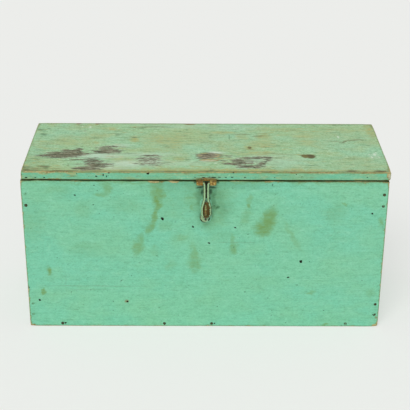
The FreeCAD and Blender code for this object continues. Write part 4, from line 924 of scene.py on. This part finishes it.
# --------------------------------------------------------------------------------- hasp and plate
# A strip of sheet iron let into the underside of the lid and curled down into two knuckles, bright
# orange with rust.  The loop is one wire: its ends turn in the knuckles, its legs open to an eye.
HASP_X, PIVOT_Y, PIVOT_Z = pivot("hasp_swing")
HASP_WIRE, outer, inner, half_gap = 4.4, 5.26, 2.26, 6.7
strip_end = box("hasp_plate")[1][1]
strip = [(strip_end, PIVOT_Z + outer), (-HALF_DEEP, PIVOT_Z + outer), (-HALF_DEEP, PIVOT_Z + inner),
         (strip_end, PIVOT_Z + inner)]


def curled(x, eaten):
    """The strip's profile at x, rolled round the wire and rusted thinner outside."""
    spokes = []
    for a in range(90, 376, 13):
        pitted = 0.25 * (0.5 + noise.noise(Vector((x / 2.5, a / 20, 7))))
        spokes.append((outer - eaten * (1 + 0.5 * noise.noise(Vector((x / 3, a / 25, 0)))) - pitted, a))
    spokes += [(inner, a) for a in range(370, 89, -20)]
    ring = [(PIVOT_Y + r * math.cos(math.radians(a)), PIVOT_Z + r * math.sin(math.radians(a)))
            for r, a in spokes]
    return [(strip_end, PIVOT_Z + outer - eaten), *ring, (PIVOT_Y, PIVOT_Z + inner),
            (strip_end, PIVOT_Z + inner)]


knuckle = [(19, 2.2), (18.4, 1.3), (17.2, 0.6), (15.4, 0.2), (13, 0), (10, 0), (7.6, 0.15), (half_gap, 0.7)]
points, faces = lofted(*(
    [[(HASP_X + x, y, z) for y, z in profile] for x, profile in stations]
    for stations in ([(x, curled(x, eaten)) for x, eaten in knuckle], [(half_gap, strip), (-half_gap, strip)],
                     [(-x, curled(-x, eaten)) for x, eaten in knuckle[::-1]])))
rusty_knuckle = old_iron(
    "orange_rust_on_hasp_plate", ("#74570d", "#96701c", "#3b2c06"), ("#c3ad68", "#a3903f"), cover=0.24,
    size=3.6, metal=0.0, seed=70,
    # The dark spots where the knuckles tuck up under the lid are painted shade; the pale spots lie lower on
    # them.
    spots=[("#3a290b", [(-10, 323.4, 7, 2.0, 0.6), (15.5, 323.6, 6, 1.6, 0.5)]),
           ("#a9a172", [(-11, 315.2, 7, 1.5, 0.75), (15.5, 315.4, 6.5, 1.7, 0.75)])])
hasp_plate = plain_mesh("hasp_plate_curled", points, faces, [rusty_knuckle])
hasp_plate.data.set_sharp_from_angle(angle=math.radians(40))
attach(hasp_plate, "lid")
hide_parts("hasp_plate")
screw_heads("hasp_screws", "lid", (0, 0, -1))
half_loop = [(19, 0, 0), (3.8, 0, 2.6), (3.3, 13, 12), (3.3, 33, 12), (7.7, 51, 12), (7.7, 71, 7.1)]
loop = [(-x, down, bend) for x, down, bend in half_loop] + half_loop[::-1]
bent_wire("hasp_loop", "hasp", "hasp_iron", hasp_iron, HASP_WIRE,
          [(HASP_X + x, PIVOT_Y, PIVOT_Z - down) for x, down, _ in loop], [bend for _, _, bend in loop[1:-1]])

# ----------------------------------------------------------------------------------------- till
# A shallow tray of thin pine, bradded together and never painted, with two dividers.  It slides on the
# runners from the back of the chest to the front.
for number, (node, axes) in enumerate((("till_front", "XZY"), ("till_back", "XZY"), ("till_end_left", "YZX"),
                                       ("till_end_right", "YZX"), ("till_bottom", "XYZ"),
                                       ("till_divider_left", "YZX"), ("till_divider_right", "YZX"))):
    thin = bare_pine(f"thin_pine_{node}", axes, tones=("#c29a63", "#a37642", "#85592f"), darkening=0.6,
                     seed=500 + 61 * number)
    board(node, "till", thin, thin, ease=0.6)
(_, front_y, low_z), (_, back_y, high_z) = box("till_front")[0], box("till_back")[1]
corner_brads = (low_z + 14.5, high_z - 14.5)
spots = [(middle(f"till_end_{side}")[0], z) for side in ("left", "right") for z in corner_brads]
spots += [middle(f"till_divider_{side}")[::2] for side in ("left", "right")]
spots += [(x, middle("till_bottom")[2]) for x in (-220, 0, 220)]
stations = [(x, y, z) for y in (front_y, back_y) for x, z in spots]
ways = [(0, way, 0) for way in (-1, 1) for _ in spots]
heads("till_brad_heads", nail_tree, brad_iron, BRAD_HEAD, stations, ways, "till", "till_nails", "nail_iron")
